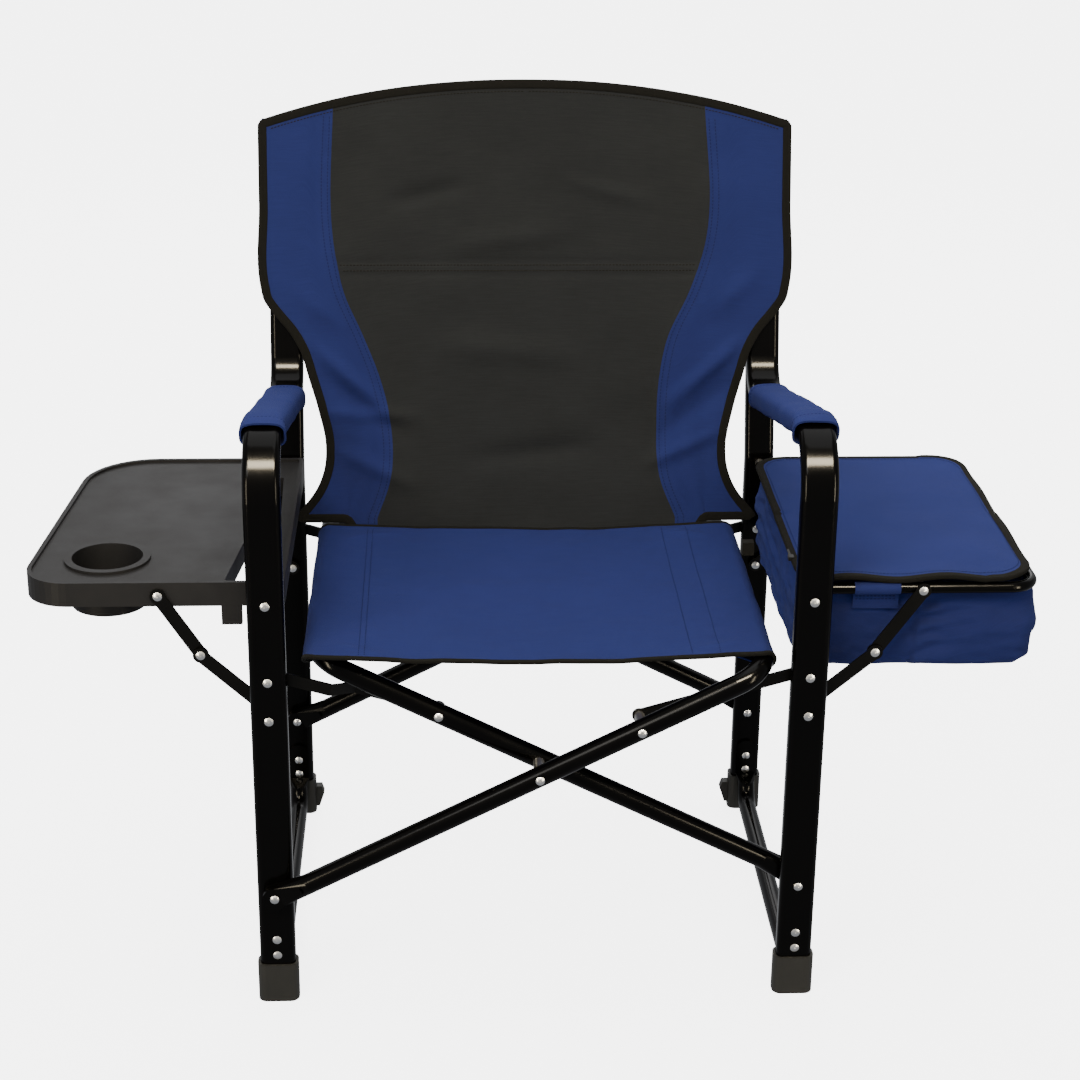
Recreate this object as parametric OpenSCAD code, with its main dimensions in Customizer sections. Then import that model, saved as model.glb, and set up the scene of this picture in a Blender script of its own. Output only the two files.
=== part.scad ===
// Folding camp chair: two side frames joined by crossed tubes, a sling seat and
// back, a drop-down tray beside one arm and a cooler bag beside the other.
// Left (-X, the tray) and right (+X, the bag) are as seen from the front, which
// faces -Y. Z = 0 is the ground and X = 0 the middle. Millimetres.

/* [Side frames] */
// Distance between the middles of the two side frames
side_spacing = 560; // [500:1:680]
// Distance from the front face of the front leg to the front face of the rear post
frame_depth = 425; // [400:1:520]
// Height of the highest point of the armrest tube
arm_height = 642; // [620:1:780]
// Slope of the armrest down towards the back, in degrees
arm_slope = 13; // [8:1:16]
// Width of the arm tube across its flat face
arm_w = 38; // [32:1:46]
// Thickness of the arm tube
arm_t = 20; // [16:1:24]
// Radius of the arm tube's front bend, on its middle line
arm_bend = 58; // [50:1:62]
// Radius of the arm tube's rear bend, on its middle line
rear_bend = 45; // [36:1:56]
// Width of the rear post
post_w = 34; // [28:1:40]
// Thickness of the rear post
post_t = 20; // [16:1:24]
// Height at which the rear post leans back
post_kink = 470; // [440:1:500]
// Lean of the back, in degrees
recline = 14; // [8:1:18]
// Height of the top of the rear post
post_top = 848; // [800:1:960]
// Wall of the frame tubes
tube_wall = 1.5; // [1.2:0.1:2]
// Diameter of the floor runner tube
runner_d = 21; // [18:1:24]
// Height of the runner's middle line above the ground
runner_h = 20; // [14:1:24]

/* [Feet] */
// Height of the plastic foot boots
boot_h = 45; // [38:1:60]
// Wall of the foot boots
boot_wall = 3; // [2:0.5:4]
// Thickness of the boot's floor
boot_floor = 5; // [4:0.5:8]

/* [Crossed tubes] */
// Diameter of the crossed tubes
cross_d = 22; // [19:1:25]
// Height of the lower pivots of the crossed tubes
pivot_h = 132; // [124:1:150]
// Height of the seat rails' middle line
rail_h = 393; // [375:1:420]
// Distance that the seat rails stand inside the side frames
rail_inset = 48; // [46:1:60]
// Bend radius of the crossed tubes, on their middle line
cross_bend = 32; // [30:1:40]
// Distance along the tube from the crossing pin to the link rivet
link_reach = 118; // [100:1:140]
// Height of the link pivots on the side frames
link_h = 379; // [365:1:400]
// Width of the link bars
link_w = 13; // [10:1:16]

/* [Seat and back] */
// Distance of the seat's front edge behind the front face of the legs
seat_front = 14; // [8:1:30]
// Distance of the seat's rear edge in front of the rear posts
seat_gap = 46; // [44:1:80]
// Thickness of the seat and back cloth, with its lining
cloth_t = 3; // [2:0.5:4]
// Half width of the back at its waist
waist_half = 232; // [200:1:245]
// Rise of the back's curved top edge at the middle
crown = 46; // [20:1:60]
// Width of the arm pads
pad_w = 46; // [44:1:50]
// Length of the arm pads behind the front bend
pad_len = 308; // [200:1:312]
// Angle of the front bend that the arm pads cover
pad_wrap = 30; // [5:1:40]

/* [Tray] */
// Height of the tray and bag pivots
side_pivot_h = 464; // [455:1:480]
// Reach of the tray and of the bag from the middle of the chair
side_reach = 530; // [490:1:560]
// Taper of the tray's outer edge from front to back
tray_taper = 30; // [0:1:50]
// Height of the tray above its pivots
tray_rise = 14; // [12:1:18]
// Height of the tray's skirt
skirt_h = 26; // [22:1:30]
// Wall of the tray
tray_wall = 2.6; // [2:0.1:3.5]
// Diameter of the cup holder
cup_d = 74; // [66:1:80]
// Depth of the cup holder below the tray's deck
cup_depth = 52; // [40:1:60]

/* [Cooler bag] */
// Diameter of the bag's carrying rod
rod_d = 12; // [10:1:14]
// Depth of the bag below its rod
bag_h = 100; // [80:1:124]
// Wall of the bag, with its foam
bag_wall = 5; // [3:0.5:8]
// Thickness of the bag's lid
lid_t = 7; // [5:0.5:10]

/* [Struts and rivets] */
// Width of the folding strut bars
strut_w = 16; // [12:1:18]
// Thickness of the strut bars
strut_t = 2; // [1.5:0.5:3]
// Height of the struts' lower pivots
strut_h = 335; // [325:1:350]
// Distance from the tray's pivot to its strut rivet
tray_strut_at = 111; // [100:1:116]
// Distance from the bag's pivot to its strut rivet
bag_strut_at = 118; // [100:1:118]
// Diameter of the rivet shanks
rivet_d = 6; // [5:0.5:7]
// Diameter of the rivet heads
rivet_head = 9.5; // [8:0.5:11]

/* [Hidden] */

// Facets of large and small round shapes
big = 96;
small = 32;
// Clearance between flat faces of different moving bodies, and of a running pin in its hole
gap = 0.5;
fit = 0.05;
// Step and overlap that let a bend nest inside the straight next to it
slim = 0.02;
lap = 0.4;

lean_len = (post_top - post_kink) / cos(recline);
seat_rear = frame_depth - seat_gap;

// The front face of the front legs, so that the middle of the chair's depth is at Y = 0
front_out = gap + cross_d + 1.6;
rear_out = frame_depth + (post_t + gap + cloth_t) * cos(recline) + (lean_len + 7) * sin(recline);
leg_y = (front_out - rear_out) / 2;
side_x = side_spacing / 2;
post_y = leg_y + frame_depth;
leg_back = leg_y + arm_t;
arm_r = arm_t * 0.35;
post_r = post_t * 0.3;
arm_mid_y = leg_y + arm_t / 2;
post_mid_y = post_y + post_t / 2;

// The armrest and the riser that follows the leaning post
bend_z = arm_height - arm_t / 2 - arm_bend;
rest_y = arm_mid_y + arm_bend + arm_bend * sin(arm_slope);
rest_z = bend_z + arm_bend * cos(arm_slope);
riser_off = arm_t / 2 + 0.4;
riser_y0 = post_y - riser_off / cos(recline);
meet_z = (rest_z - (riser_y0 - rest_y) * tan(arm_slope) + post_kink * tan(recline) * tan(arm_slope))
         / (1 + tan(recline) * tan(arm_slope));
meet_y = riser_y0 + (meet_z - post_kink) * tan(recline);
rear_turn = 90 + arm_slope - recline;
tangent = rear_bend * tan(rear_turn / 2);
rest_len = (meet_y - rest_y) / cos(arm_slope) - tangent;
riser_len = 152;
post_bend = 40;
// The leaning post's middle line and rear face, in the frame of its front face
lean_mid = post_t / 2 * cos(recline);
lean_back = lean_mid + post_t / 2;

// Crossed tubes: slope, lengths from the lower pivot, and the planes of the two tubes
rail_x = side_x - rail_inset;
slope = atan((rail_h - pivot_h) / (side_x + rail_x));
rail_at = (side_x + rail_x) / cos(slope);
cross_at = side_x / cos(slope);
cross_z = pivot_h + side_x * tan(slope);
plane_a = leg_y - gap - cross_d / 2;
plane_b = leg_back + gap + cross_d / 2;
eye_t = 12;
eye_r = 13;
link_x = link_reach * cos(slope);
link_z = cross_z + link_reach * sin(slope);
link_len = norm([side_x - link_x, link_h - link_z]);
link_tilt = atan((link_h - link_z) / (side_x - link_x));

// Layers behind the leg, measured from its back face, for the links and the struts
link_t = 3;
head_t = 1.3;
tail_t = 1.2;
link_at = gap;
strut_lower_at = link_at + link_t + tail_t + gap;
strut_head_at = strut_lower_at + strut_t + gap;
strut_upper_at = strut_head_at + head_t;
side_at = strut_upper_at + strut_t + tail_t + 0.2;
joggle_from = 66;
joggle_len = 26;
joggle = cross_d + gap;

// Struts: two bars that are nearly straight when open and lie on each other when folded
drop = side_pivot_h - strut_h;
slack = 1.4;
function open_span(at) = norm([at, drop]);
function lower_len(at) = (open_span(at) + slack + drop - at) / 2;
function upper_len(at) = (open_span(at) + slack - drop + at) / 2;
function knuckle_angle(at) = atan2(drop, at)
    - acos((pow(lower_len(at), 2) + pow(open_span(at), 2) - pow(upper_len(at), 2))
           / (2 * lower_len(at) * open_span(at)));
function knuckle(at) = lower_len(at) * [cos(knuckle_angle(at)), sin(knuckle_angle(at))];

// Tray and bag between the leg and the post
side_front = leg_back + side_at;
side_back = post_y - side_at;
mid_y = (leg_back + post_y) / 2;
tray_top = side_pivot_h + tray_rise;
tray_in = side_x - 18;
cup_x = side_reach - 79;
cup_y = side_front + 74;
cup_rim = 8;
rod_y = side_front + rod_d / 2;
rod_out = side_reach - 12;
rod_bend = 26;
bag_in = side_x - 10;
bag_out = side_reach;
bag_front = rod_y + rod_d / 2 + 2.6;
bag_back = 2 * mid_y - bag_front;
lid_z = side_pivot_h + rod_d / 2 + 2;
lid_out = side_reach - 16;
loop_x = side_x + 46;
loop_len = 50;

// Back: measured up the leaning post from its kink, with the cloth in front of the riser
sleeve_from = (658 - post_kink) / cos(recline);
back_low = -70;
back_off = arm_t + 0.4 + gap;
sleeve_half = side_x + arm_w / 2 + gap;
pad_from = 26;

black = [0.06, 0.055, 0.05];
steel = [0.75, 0.75, 0.77];
blue = [0.17, 0.27, 0.5];
dark = [0.11, 0.1, 0.1];
grey = [0.33, 0.33, 0.32];
boot_grey = [0.25, 0.25, 0.24];

function unit(v) = v / norm(v);
// The points of one rounded corner p, between its neighbours a and b
function corner(a, p, b, r, n) =
    r == 0 ? [p] :
    let(u = unit(a - p), v = unit(b - p), half = acos(u * v) / 2,
        c = p + unit(u + v) * r / sin(half),
        s = p + u * r / tan(half) - c, e = p + v * r / tan(half) - c,
        from = atan2(s[1], s[0]), turn = (atan2(e[1], e[0]) - from + 900) % 360 - 180)
    [for (i = [0:n]) c + r * [cos(from + turn * i / n), sin(from + turn * i / n)]];
function rounded(points, radii, n = 10) =
    [for (i = [0:len(points) - 1])
        each corner(points[(i + len(points) - 1) % len(points)], points[i],
                    points[(i + 1) % len(points)], radii[i], n)];

module mirror_if(flip) {
    if (flip) mirror([1, 0, 0]) children();
    else children();
}

// The same thing at the front leg and, turned to face it, at the rear post
module rear_face() {
    translate([0, 2 * mid_y, 0]) mirror([0, 1, 0]) children();
}

// Rounded rectangle and circle sections; a bend is drawn slim to nest in its neighbours
module oval(w, t, r) {
    s = is_undef($slim) ? 0 : $slim;
    square([w - 2 * r, t - 2 * s], center = true);
    square([w - 2 * s, t - 2 * r], center = true);
    for (x = [-1, 1], y = [-1, 1]) translate([x * (w / 2 - r), y * (t / 2 - r)]) circle(r - s, $fn = small);
}
module disc(d) {
    s = is_undef($slim) ? 0 : $slim;
    circle(d / 2 - s, $fn = 48);
}

// A tube path of straights ["go", length] and bends ["turn", radius, angle], towards +Y
module path(steps, over = 0, i = 0) {
    if (i < len(steps)) {
        s = steps[i];
        first = i == 0 ? over : lap;
        last = i == len(steps) - 1 ? over : lap;
        if (s[0] == "go") {
            translate([0, 0, -first]) linear_extrude(s[1] + first + last) children();
            translate([0, 0, s[1]]) path(steps, over, i + 1) children();
        } else {
            way = sign(s[2]);
            mirror([0, way < 0 ? 1 : 0, 0])
                multmatrix([[0, 0, -1, 0], [-1, 0, 0, s[1]], [0, 1, 0, 0], [0, 0, 0, 1]])
                    rotate_extrude(angle = abs(s[2]), $fn = big) translate([s[1], 0]) rotate(90)
                        let($slim = slim) children();
            translate([0, way * s[1], 0]) rotate([-s[2], 0, 0]) translate([0, -way * s[1], 0])
                path(steps, over, i + 1) children();
        }
    }
}

// A cylinder along +Y, from y0 to y1
module pin(x, z, y0, y1, d) {
    translate([x, y0, z]) rotate([-90, 0, 0]) cylinder(d = d, h = y1 - y0, $fn = small);
}

// A domed rivet head whose flat side is at y and whose dome points forwards (-1) or backwards (1)
module head(x, z, y, way, t = head_t) {
    ball = (rivet_head * rivet_head / 4 + t * t) / (2 * t);
    translate([x, y, z]) rotate([way * -90, 0, 0]) intersection() {
        translate([0, 0, t - ball]) sphere(ball, $fn = 48);
        cylinder(d = rivet_head, h = t + 1, $fn = small);
    }
}

module washer(x, z, y0, y1, d, bore) {
    difference() {
        pin(x, z, y0, y1, d);
        pin(x, z, y0 - 1, y1 + 1, bore);
    }
}

// Heights of the holes through a side frame
runner_holes = [boot_h + 11, boot_h + 30];
function frame_holes() = concat(runner_holes, [pivot_h, strut_h, link_h, side_pivot_h]);

// ---- Side frames, drawn for the -X side ----

arm_steps = [["go", bend_z - boot_floor], ["turn", arm_bend, 90 + arm_slope], ["go", rest_len],
             ["turn", rear_bend, -rear_turn], ["go", riser_len]];

module arm_tube() {
    color(black) difference() {
        translate([-side_x, arm_mid_y, boot_floor]) path(arm_steps) oval(arm_w, arm_t, arm_r);
        translate([-side_x, arm_mid_y, boot_floor])
            path(arm_steps, 1) oval(arm_w - 2 * tube_wall, arm_t - 2 * tube_wall, arm_r - tube_wall);
        for (z = frame_holes()) pin(-side_x, z, leg_y - 1, leg_back + 1, rivet_d);
        lean_at(riser_off) for (s = riser_holes()) pin(-side_x, s, -arm_t, arm_t, rivet_d);
    }
}

// The leaning frame: its origin at the post's kink, +Z up the post, +Y into the post
module lean_at(off = 0) {
    translate([0, post_y, post_kink]) rotate([-recline, 0, 0]) translate([0, -off, 0]) children();
}
function riser_from() = (meet_z - post_kink) / cos(recline) + tangent;
function riser_holes() = [riser_from() + 72, riser_from() + 130];

module post_shape(w, t, r, over) {
    shift = post_bend * tan(recline / 2);
    steps = [["go", post_kink - boot_floor - shift], ["turn", post_bend, recline],
             ["go", lean_len - shift - post_t / 2 * sin(recline)]];
    translate([-side_x, post_mid_y, boot_floor]) path(steps, over) oval(w, t, r);
}
module rear_post() {
    color(black) difference() {
        post_shape(post_w, post_t, post_r, 0);
        post_shape(post_w - 2 * tube_wall, post_t - 2 * tube_wall, post_r - tube_wall, 1);
        for (z = frame_holes()) pin(-side_x, z, post_y - 1, post_y + post_t + 1, rivet_d);
        lean_at() for (s = riser_holes()) pin(-side_x, s, -arm_t, post_t + arm_t, rivet_d);
    }
}

// The runner lies behind the front boot and in front of the rear one, and its flattened ends
// stand against the leg and the post
flat_t = 4;
flat_top = boot_h + 51;
flat_from = boot_h + 5.4;
run_y = leg_back + boot_wall + 0.4 + runner_d / 2;
run_bend = boot_h + 1 - runner_h;
module runner_end() {
    hull() {
        translate([-side_x, leg_back + flat_t / 2, flat_from]) cube([24, flat_t, 0.6], center = true);
        translate([-side_x, run_y, boot_h + 0.7]) cylinder(d = runner_d, h = 0.6, $fn = small);
    }
    difference() {
        union() {
            translate([-side_x - 12, leg_back, flat_from]) cube([24, flat_t, flat_top - 12 - flat_from]);
            pin(-side_x, flat_top - 12, leg_back, leg_back + flat_t, 24);
        }
        for (z = runner_holes) pin(-side_x, z, leg_back - 1, leg_back + flat_t + 1, rivet_d);
    }
}
module runner() {
    steps = [["turn", run_bend, 90], ["go", 2 * (mid_y - run_y - run_bend)], ["turn", run_bend, 90]];
    color(black) {
        difference() {
            translate([-side_x, run_y, boot_h + 1]) mirror([0, 0, 1]) path(steps) disc(runner_d);
            translate([-side_x, run_y, boot_h + 1]) mirror([0, 0, 1])
                path(steps, 0) disc(runner_d - 2 * tube_wall);
        }
        runner_end();
        rear_face() runner_end();
    }
}

module boot(w, t, r, y) {
    color(boot_grey) translate([-side_x, y, 0]) difference() {
        linear_extrude(boot_h) oval(w + 2 * boot_wall, t + 2 * boot_wall, r + boot_wall);
        translate([0, 0, boot_floor]) linear_extrude(boot_h) oval(w + 2 * fit, t + 2 * fit, r + fit);
    }
}
// The rear boot has a small sloped ear on its inner side that clips under the runner
module rear_boot() {
    boot(post_w, post_t, post_r, post_mid_y);
    color(boot_grey) translate([-side_x + post_w / 2 + boot_wall, post_mid_y + 8, 6]) rotate([90, 0, 0])
        linear_extrude(12) polygon([[-0.5, 0], [4, 0], [10, 18], [7, 27], [-0.5, 27]]);
}

// Padded sleeve round the armrest and the top of its front bend
module arm_pad() {
    start = 90 + arm_slope - pad_wrap;
    steps = [["turn", arm_bend, pad_wrap], ["go", pad_len]];
    color(blue) translate([-side_x, arm_mid_y + arm_bend, bend_z]) rotate([-start, 0, 0])
        translate([0, -arm_bend, 0]) difference() {
            path(steps) oval(pad_w, arm_t + 8, arm_r + 4);
            path(steps, 1) oval(arm_w + 0.8, arm_t + 0.8, arm_r + 0.4);
        }
}

plug_in = tube_wall + fit;
module tube_plugs() {
    color(dark) {
        lean_at() translate([-side_x, lean_mid, lean_len]) {
            linear_extrude(3) oval(post_w, post_t, post_r);
            translate([0, 0, -12]) linear_extrude(12.5)
                oval(post_w - 2 * plug_in, post_t - 2 * plug_in, post_r - plug_in);
        }
        lean_at(riser_off) translate([-side_x, 0, riser_from() + riser_len]) {
            linear_extrude(3) oval(arm_w, arm_t, arm_r);
            translate([0, 0, -12]) linear_extrude(12.5)
                oval(arm_w - 2 * plug_in, arm_t - 2 * plug_in, arm_r - plug_in);
        }
    }
}

// Rivets that hold the runner and join the riser to the post
module frame_rivets() {
    color(steel) {
        for (z = runner_holes) {
            head(-side_x, z, leg_y, -1);
            pin(-side_x, z, leg_y, leg_back + flat_t, rivet_d);
            head(-side_x, z, leg_back + flat_t, 1);
            head(-side_x, z, post_y - flat_t, -1);
            pin(-side_x, z, post_y - flat_t, post_y + post_t, rivet_d);
            head(-side_x, z, post_y + post_t, 1);
        }
        lean_at() for (s = riser_holes()) {
            head(-side_x, s, -arm_t - 0.4, -1, 0.4);
            pin(-side_x, s, -arm_t - 0.4, lean_back, rivet_d);
            head(-side_x, s, lean_back, 1, 0.4);
        }
    }
}

// Pivot pins of one side: crossed tube, link, strut and tray or bag, front and rear
module pivot_rivets(front_tube) {
    eye_front = leg_y - gap - eye_t;
    eye_back = leg_back + gap + eye_t;
    start = front_tube ? eye_front - 0.3 : leg_y;
    stop = front_tube ? leg_back : eye_back + 0.3;
    color(steel) for (dy = [0, frame_depth]) translate([0, dy, 0]) {
        head(-side_x, pivot_h, start, -1, 1.6);
        pin(-side_x, pivot_h, start, stop, rivet_d);
        head(-side_x, pivot_h, stop, 1);
        head(-side_x, link_h, leg_y, -1);
        pin(-side_x, link_h, leg_y, leg_back + link_at + link_t + 0.05, rivet_d);
        head(-side_x, link_h, leg_back + link_at + link_t + 0.05, 1, tail_t);
    }
    color(steel) for (rear = [0, 1]) {
        outer = rear == 1 ? post_y + post_t : leg_y;
        turned(rear) {
            head(-side_x, strut_h, rear_start(outer, rear), -1);
            pin(-side_x, strut_h, rear_start(outer, rear), leg_back + strut_lower_at + strut_t + 0.05, rivet_d);
            head(-side_x, strut_h, leg_back + strut_lower_at + strut_t + 0.05, 1, tail_t);
            head(-side_x, side_pivot_h, rear_start(outer, rear) - 0.2 * rear, -1);
            pin(-side_x, side_pivot_h, rear_start(outer, rear) - 0.2 * rear, leg_back + side_at + side_grip + 0.3, rivet_d);
            head(-side_x, side_pivot_h, leg_back + side_at + side_grip + 0.3, 1);
        }
    }
}
// Thickness that the tray and the rod both offer to their pivots
side_grip = rod_d;
module turned(rear) {
    if (rear == 1) rear_face() children();
    else children();
}
function rear_start(outer, rear) = rear == 1 ? 2 * mid_y - outer : outer;

// Sleeves on the pins that hold the struts and the tray or bag off the leg
module side_spacers() {
    color(steel) for (rear = [0, 1]) turned(rear) {
        washer(-side_x, strut_h, leg_back, leg_back + strut_lower_at - 0.1, 11, rivet_d);
        washer(-side_x, side_pivot_h, leg_back, leg_back + side_at - 0.2, 11, rivet_d);
    }
}

// ---- Crossed tubes ----

// A U of tube in the plane of its slope, its open ends at the lower pivots
module cross_tube(at_y, eye_way) {
    leg = rail_at - cross_bend;
    steps = [["go", leg - 40], ["turn", cross_bend, 90], ["go", frame_depth - 2 * cross_bend],
             ["turn", cross_bend, 90], ["go", leg - 40]];
    color(black) translate([-side_x, at_y, pivot_h]) rotate([0, 90 - slope, 0]) difference() {
        union() {
            translate([0, 0, 40]) path(steps) disc(cross_d);
            for (dy = [0, frame_depth]) translate([0, dy, 0]) cross_eye(eye_way);
        }
        translate([0, 0, 40]) path(steps, 8) disc(cross_d - 2 * tube_wall);
        for (dy = [0, frame_depth]) translate([0, dy, 0]) {
            hole(0, rivet_d + 2 * fit);
            hole(cross_at, rivet_d + 2 * fit);
            hole(cross_at + link_reach, rivet_d + 2 * fit);
        }
    }
}
module hole(at, d) {
    translate([0, -cross_d, at]) rotate([-90, 0, 0]) cylinder(d = d, h = 2 * cross_d, $fn = small);
}
// The flattened end of the tube, pressed to the side that lies on the frame
module cross_eye(way) {
    lie = way * (cross_d - eye_t) / 2;
    translate([0, lie - eye_t / 2, 0]) rotate([-90, 0, 0]) cylinder(r = eye_r, h = eye_t, $fn = small);
    hull() {
        translate([0, lie, 6]) cube([2 * eye_r - 3, eye_t, 0.6], center = true);
        translate([0, 0, 40]) cylinder(d = cross_d, h = 0.6, $fn = small);
    }
}

// Crossing pins, which ride with the first tube
module cross_rivets() {
    color(steel) for (dy = [0, frame_depth]) {
        head(0, cross_z, plane_a - cross_d / 2 + dy, -1, 1.8);
        pin(0, cross_z, plane_a - cross_d / 2 + dy, plane_b + cross_d / 2 + 0.3 + dy, rivet_d);
        head(0, cross_z, plane_b + cross_d / 2 + 0.3 + dy, 1);
    }
}
module cross_spacers() {
    color(steel) for (dy = [0, frame_depth]) {
        washer(0, cross_z, plane_a + cross_d / 2 + dy, plane_b - cross_d / 2 - 0.2 + dy, 12, rivet_d);
        washer(link_x, link_z, plane_a + cross_d / 2 + dy, leg_back + link_at - 0.2 + dy, 11, rivet_d);
    }
}
// Link rivets on a tube: the link's own end is the pivot that is left open
module link_rivets(at_y, x, stop) {
    color(steel) for (dy = [0, frame_depth]) {
        head(x, link_z, at_y - cross_d / 2 + dy, -1, 1.8);
        pin(x, link_z, at_y - cross_d / 2 + dy, stop + dy, rivet_d);
    }
}

// ---- Links from the side frames to the crossed tubes ----

module bar(len, w, t) {
    rotate([-90, 0, 0]) linear_extrude(t) {
        translate([0, -w / 2]) square([len, w]);
        for (x = [0, len]) translate([x, 0]) circle(w / 2 + 1, $fn = small);
    }
}
module placed_bar(x, z, tilt) {
    translate([x, 0, z]) rotate([0, tilt, 0]) children();
}
// A flat link behind the leg, with a joggle back round the tube where it needs one
module link(offset_back) {
    color(black) placed_bar(-side_x, link_h, link_tilt) translate([0, leg_back + link_at, 0]) difference() {
        if (offset_back) union() {
            bar_part(0, joggle_from, 0);
            translate([0, 0, -link_w / 2]) linear_extrude(link_w) polygon([
                [joggle_from, 0], [joggle_from + joggle_len, joggle],
                [joggle_from + joggle_len, joggle + link_t], [joggle_from, link_t]]);
            bar_part(joggle_from + joggle_len, link_len, joggle);
        } else bar(link_len, link_w, link_t);
        translate([0, -1, 0]) rotate([-90, 0, 0]) cylinder(d = rivet_d + 2 * fit, h = link_t + 2, $fn = small);
        translate([link_len, -1, 0]) rotate([-90, 0, 0])
            cylinder(d = rivet_d, h = joggle + link_t + 2, $fn = small);
    }
}
module bar_part(from, to, y) {
    translate([0, y, 0]) rotate([-90, 0, 0]) linear_extrude(link_t) {
        translate([from, -link_w / 2]) square([to - from, link_w]);
        translate([from == 0 ? 0 : to, 0]) circle(link_w / 2 + 1, $fn = small);
    }
}
// The riveted-over ends of the link rivets, which stay in the links
module link_tails(y) {
    color(steel) for (dy = [0, frame_depth]) {
        pin(-link_x, link_z, y + 0.3 + dy, y + link_t + dy, rivet_d);
        head(-link_x, link_z, y + link_t + dy, 1);
    }
}

// ---- Seat and back slings: plain closed solids of the cloth ----

module seat_sling() {
    top = rail_h + cross_d / 2 + gap;
    sleeve = cross_d + 2 * gap + 2 * cloth_t;
    color(blue) difference() {
        union() {
            translate([-rail_x, leg_y + seat_front, top]) cube([2 * rail_x, seat_rear - seat_front, cloth_t]);
            sleeve_at(-rail_x, plane_b + cross_bend + 1, leg_y + seat_rear, sleeve);
            sleeve_at(rail_x, plane_a + cross_bend + 1, leg_y + seat_rear - 2, sleeve);
        }
        for (x = [-1, 1]) sleeve_at(x * rail_x, leg_y - 50, leg_y + frame_depth, cross_d + 2 * gap);
    }
}
module sleeve_at(x, y0, y1, d) {
    translate([x, y0, rail_h]) rotate([-90, 0, 0]) cylinder(d = d, h = y1 - y0, $fn = 48);
}

// Half outline of the back from its top middle to its bottom, with the side curving in to the waist
top_at = lean_len + 8;
function back_side() =
    [for (i = [0:12]) let(u = i / 12) [sleeve_half * u, top_at + crown * (1 - u * u)]];
function waist_curve() =
    [for (i = [0:14]) let(u = i / 14, s = sleeve_from + (back_low - sleeve_from) * u,
        pull = pow(sin(min(1, u / 0.68) * 90), 0.75), flare = pow(max(0, (u - 0.68) / 0.32), 2))
        [sleeve_half - (sleeve_half - waist_half) * pull + 34 * flare, s]];
module back_sling() {
    half = concat(back_side(), waist_curve(), [[rail_x - 18, back_low], [rail_x - 32, back_low - 26]]);
    color(blue) lean_at() difference() {
        union() {
            translate([0, -back_off, 0]) rotate([90, 0, 0]) linear_extrude(cloth_t)
                polygon(concat(half, [for (i = [len(half) - 1:-1:1]) [-half[i][0], half[i][1]]]));
            for (x = [-1, 1]) translate([x * side_x - sleeve_w / 2, -back_off - 0.5, sleeve_from])
                cube([sleeve_w, back_off + 0.5 + post_t + gap + cloth_t, lean_len + 7 - sleeve_from]);
        }
        for (x = [-1, 1]) translate([x * side_x - sleeve_w / 2 + cloth_t, -back_off, sleeve_from - 1])
            cube([sleeve_w - 2 * cloth_t, back_off + post_t + gap, lean_len + 5 - sleeve_from]);
    }
}
sleeve_w = arm_w + 2 * gap + 2 * cloth_t;

// ---- Tray ----

tray_corner = 46;
tray_edge = atan(tray_taper / (side_back - side_front));
tray_reach = side_reach + tray_corner * (tan(tray_edge) + 1 / cos(tray_edge) - 1);
tray_radii = [6, tray_corner, 80, 6];
function shrink(by) = [[-tray_in - by, side_front + by], [-tray_reach + by, side_front + by],
                       [-tray_reach + tray_taper + by, side_back - by], [-tray_in - by, side_back - by]];
// A tapering opening beside the armrest, that serves as the tray's handle
slot_out = [[-side_x - 44, side_front + side_grip], [-side_x - 10, side_back - 60], [-side_x - 2, side_back - 60],
            [-side_x + 9, side_front + side_grip]];
module tray() {
    rim = 3;
    color(grey) difference() {
        union() {
            difference() {
                translate([0, 0, tray_top - skirt_h]) linear_extrude(skirt_h)
                    polygon(rounded(shrink(0), tray_radii));
                translate([0, 0, tray_top - skirt_h - 1]) linear_extrude(skirt_h + 1 - tray_wall - rim)
                    polygon(rounded(shrink(tray_wall), [4, 43, 77, 4]));
                translate([0, 0, tray_top - rim]) linear_extrude(rim + 1)
                    polygon(rounded(shrink(5), [3, 41, 75, 3]));
            }
            // walls round the slot
            translate([0, 0, tray_top - skirt_h]) linear_extrude(skirt_h - rim - 0.5)
                polygon(rounded([slot_out[0] + [-2.6, -2.6], slot_out[1] + [-2.6, 3], slot_out[2] + [2.6, 3],
                                 slot_out[3] + [2.6, -2.6]], [5, 3, 3, 5]));
            translate([-cup_x, cup_y, tray_top - cup_depth]) cylinder(d = cup_d + 5, h = cup_depth, $fn = big);
            translate([-cup_x, cup_y, tray_top - 10]) cylinder(d = cup_d + 2 * cup_rim, h = 10, $fn = big);
            tray_bosses();
        }
        translate([-cup_x, cup_y, tray_top - cup_depth + 3]) cylinder(d = cup_d, h = cup_depth, $fn = big);
        translate([0, 0, tray_top - skirt_h - 1]) linear_extrude(skirt_h + 2) polygon(rounded(slot_out, [4, 2, 2, 2]));
        for (rear = [0, 1]) turned(rear) {
            pin(-side_x, side_pivot_h, side_front - 1, side_front + side_grip + 1, rivet_d + 2 * fit);
            pin(-side_x - tray_strut_at, side_pivot_h, side_front - 1, side_front + side_grip + 1,
                rivet_d + 2 * fit);
        }
    }
}
// Moulded blocks that carry the pivots and strut rivets, and the lock tab under the front
module tray_bosses() {
    for (rear = [0, 1]) turned(rear) {
        for (x = [0, tray_strut_at]) translate([-side_x - x - 10, side_front + 0.2, tray_top - skirt_h])
            cube([20, side_grip - 0.2, skirt_h - 4]);
    }
    translate([-side_x - 47, side_front + 0.2, tray_top - skirt_h - 21]) cube([21, 8, 22]);
}

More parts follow.
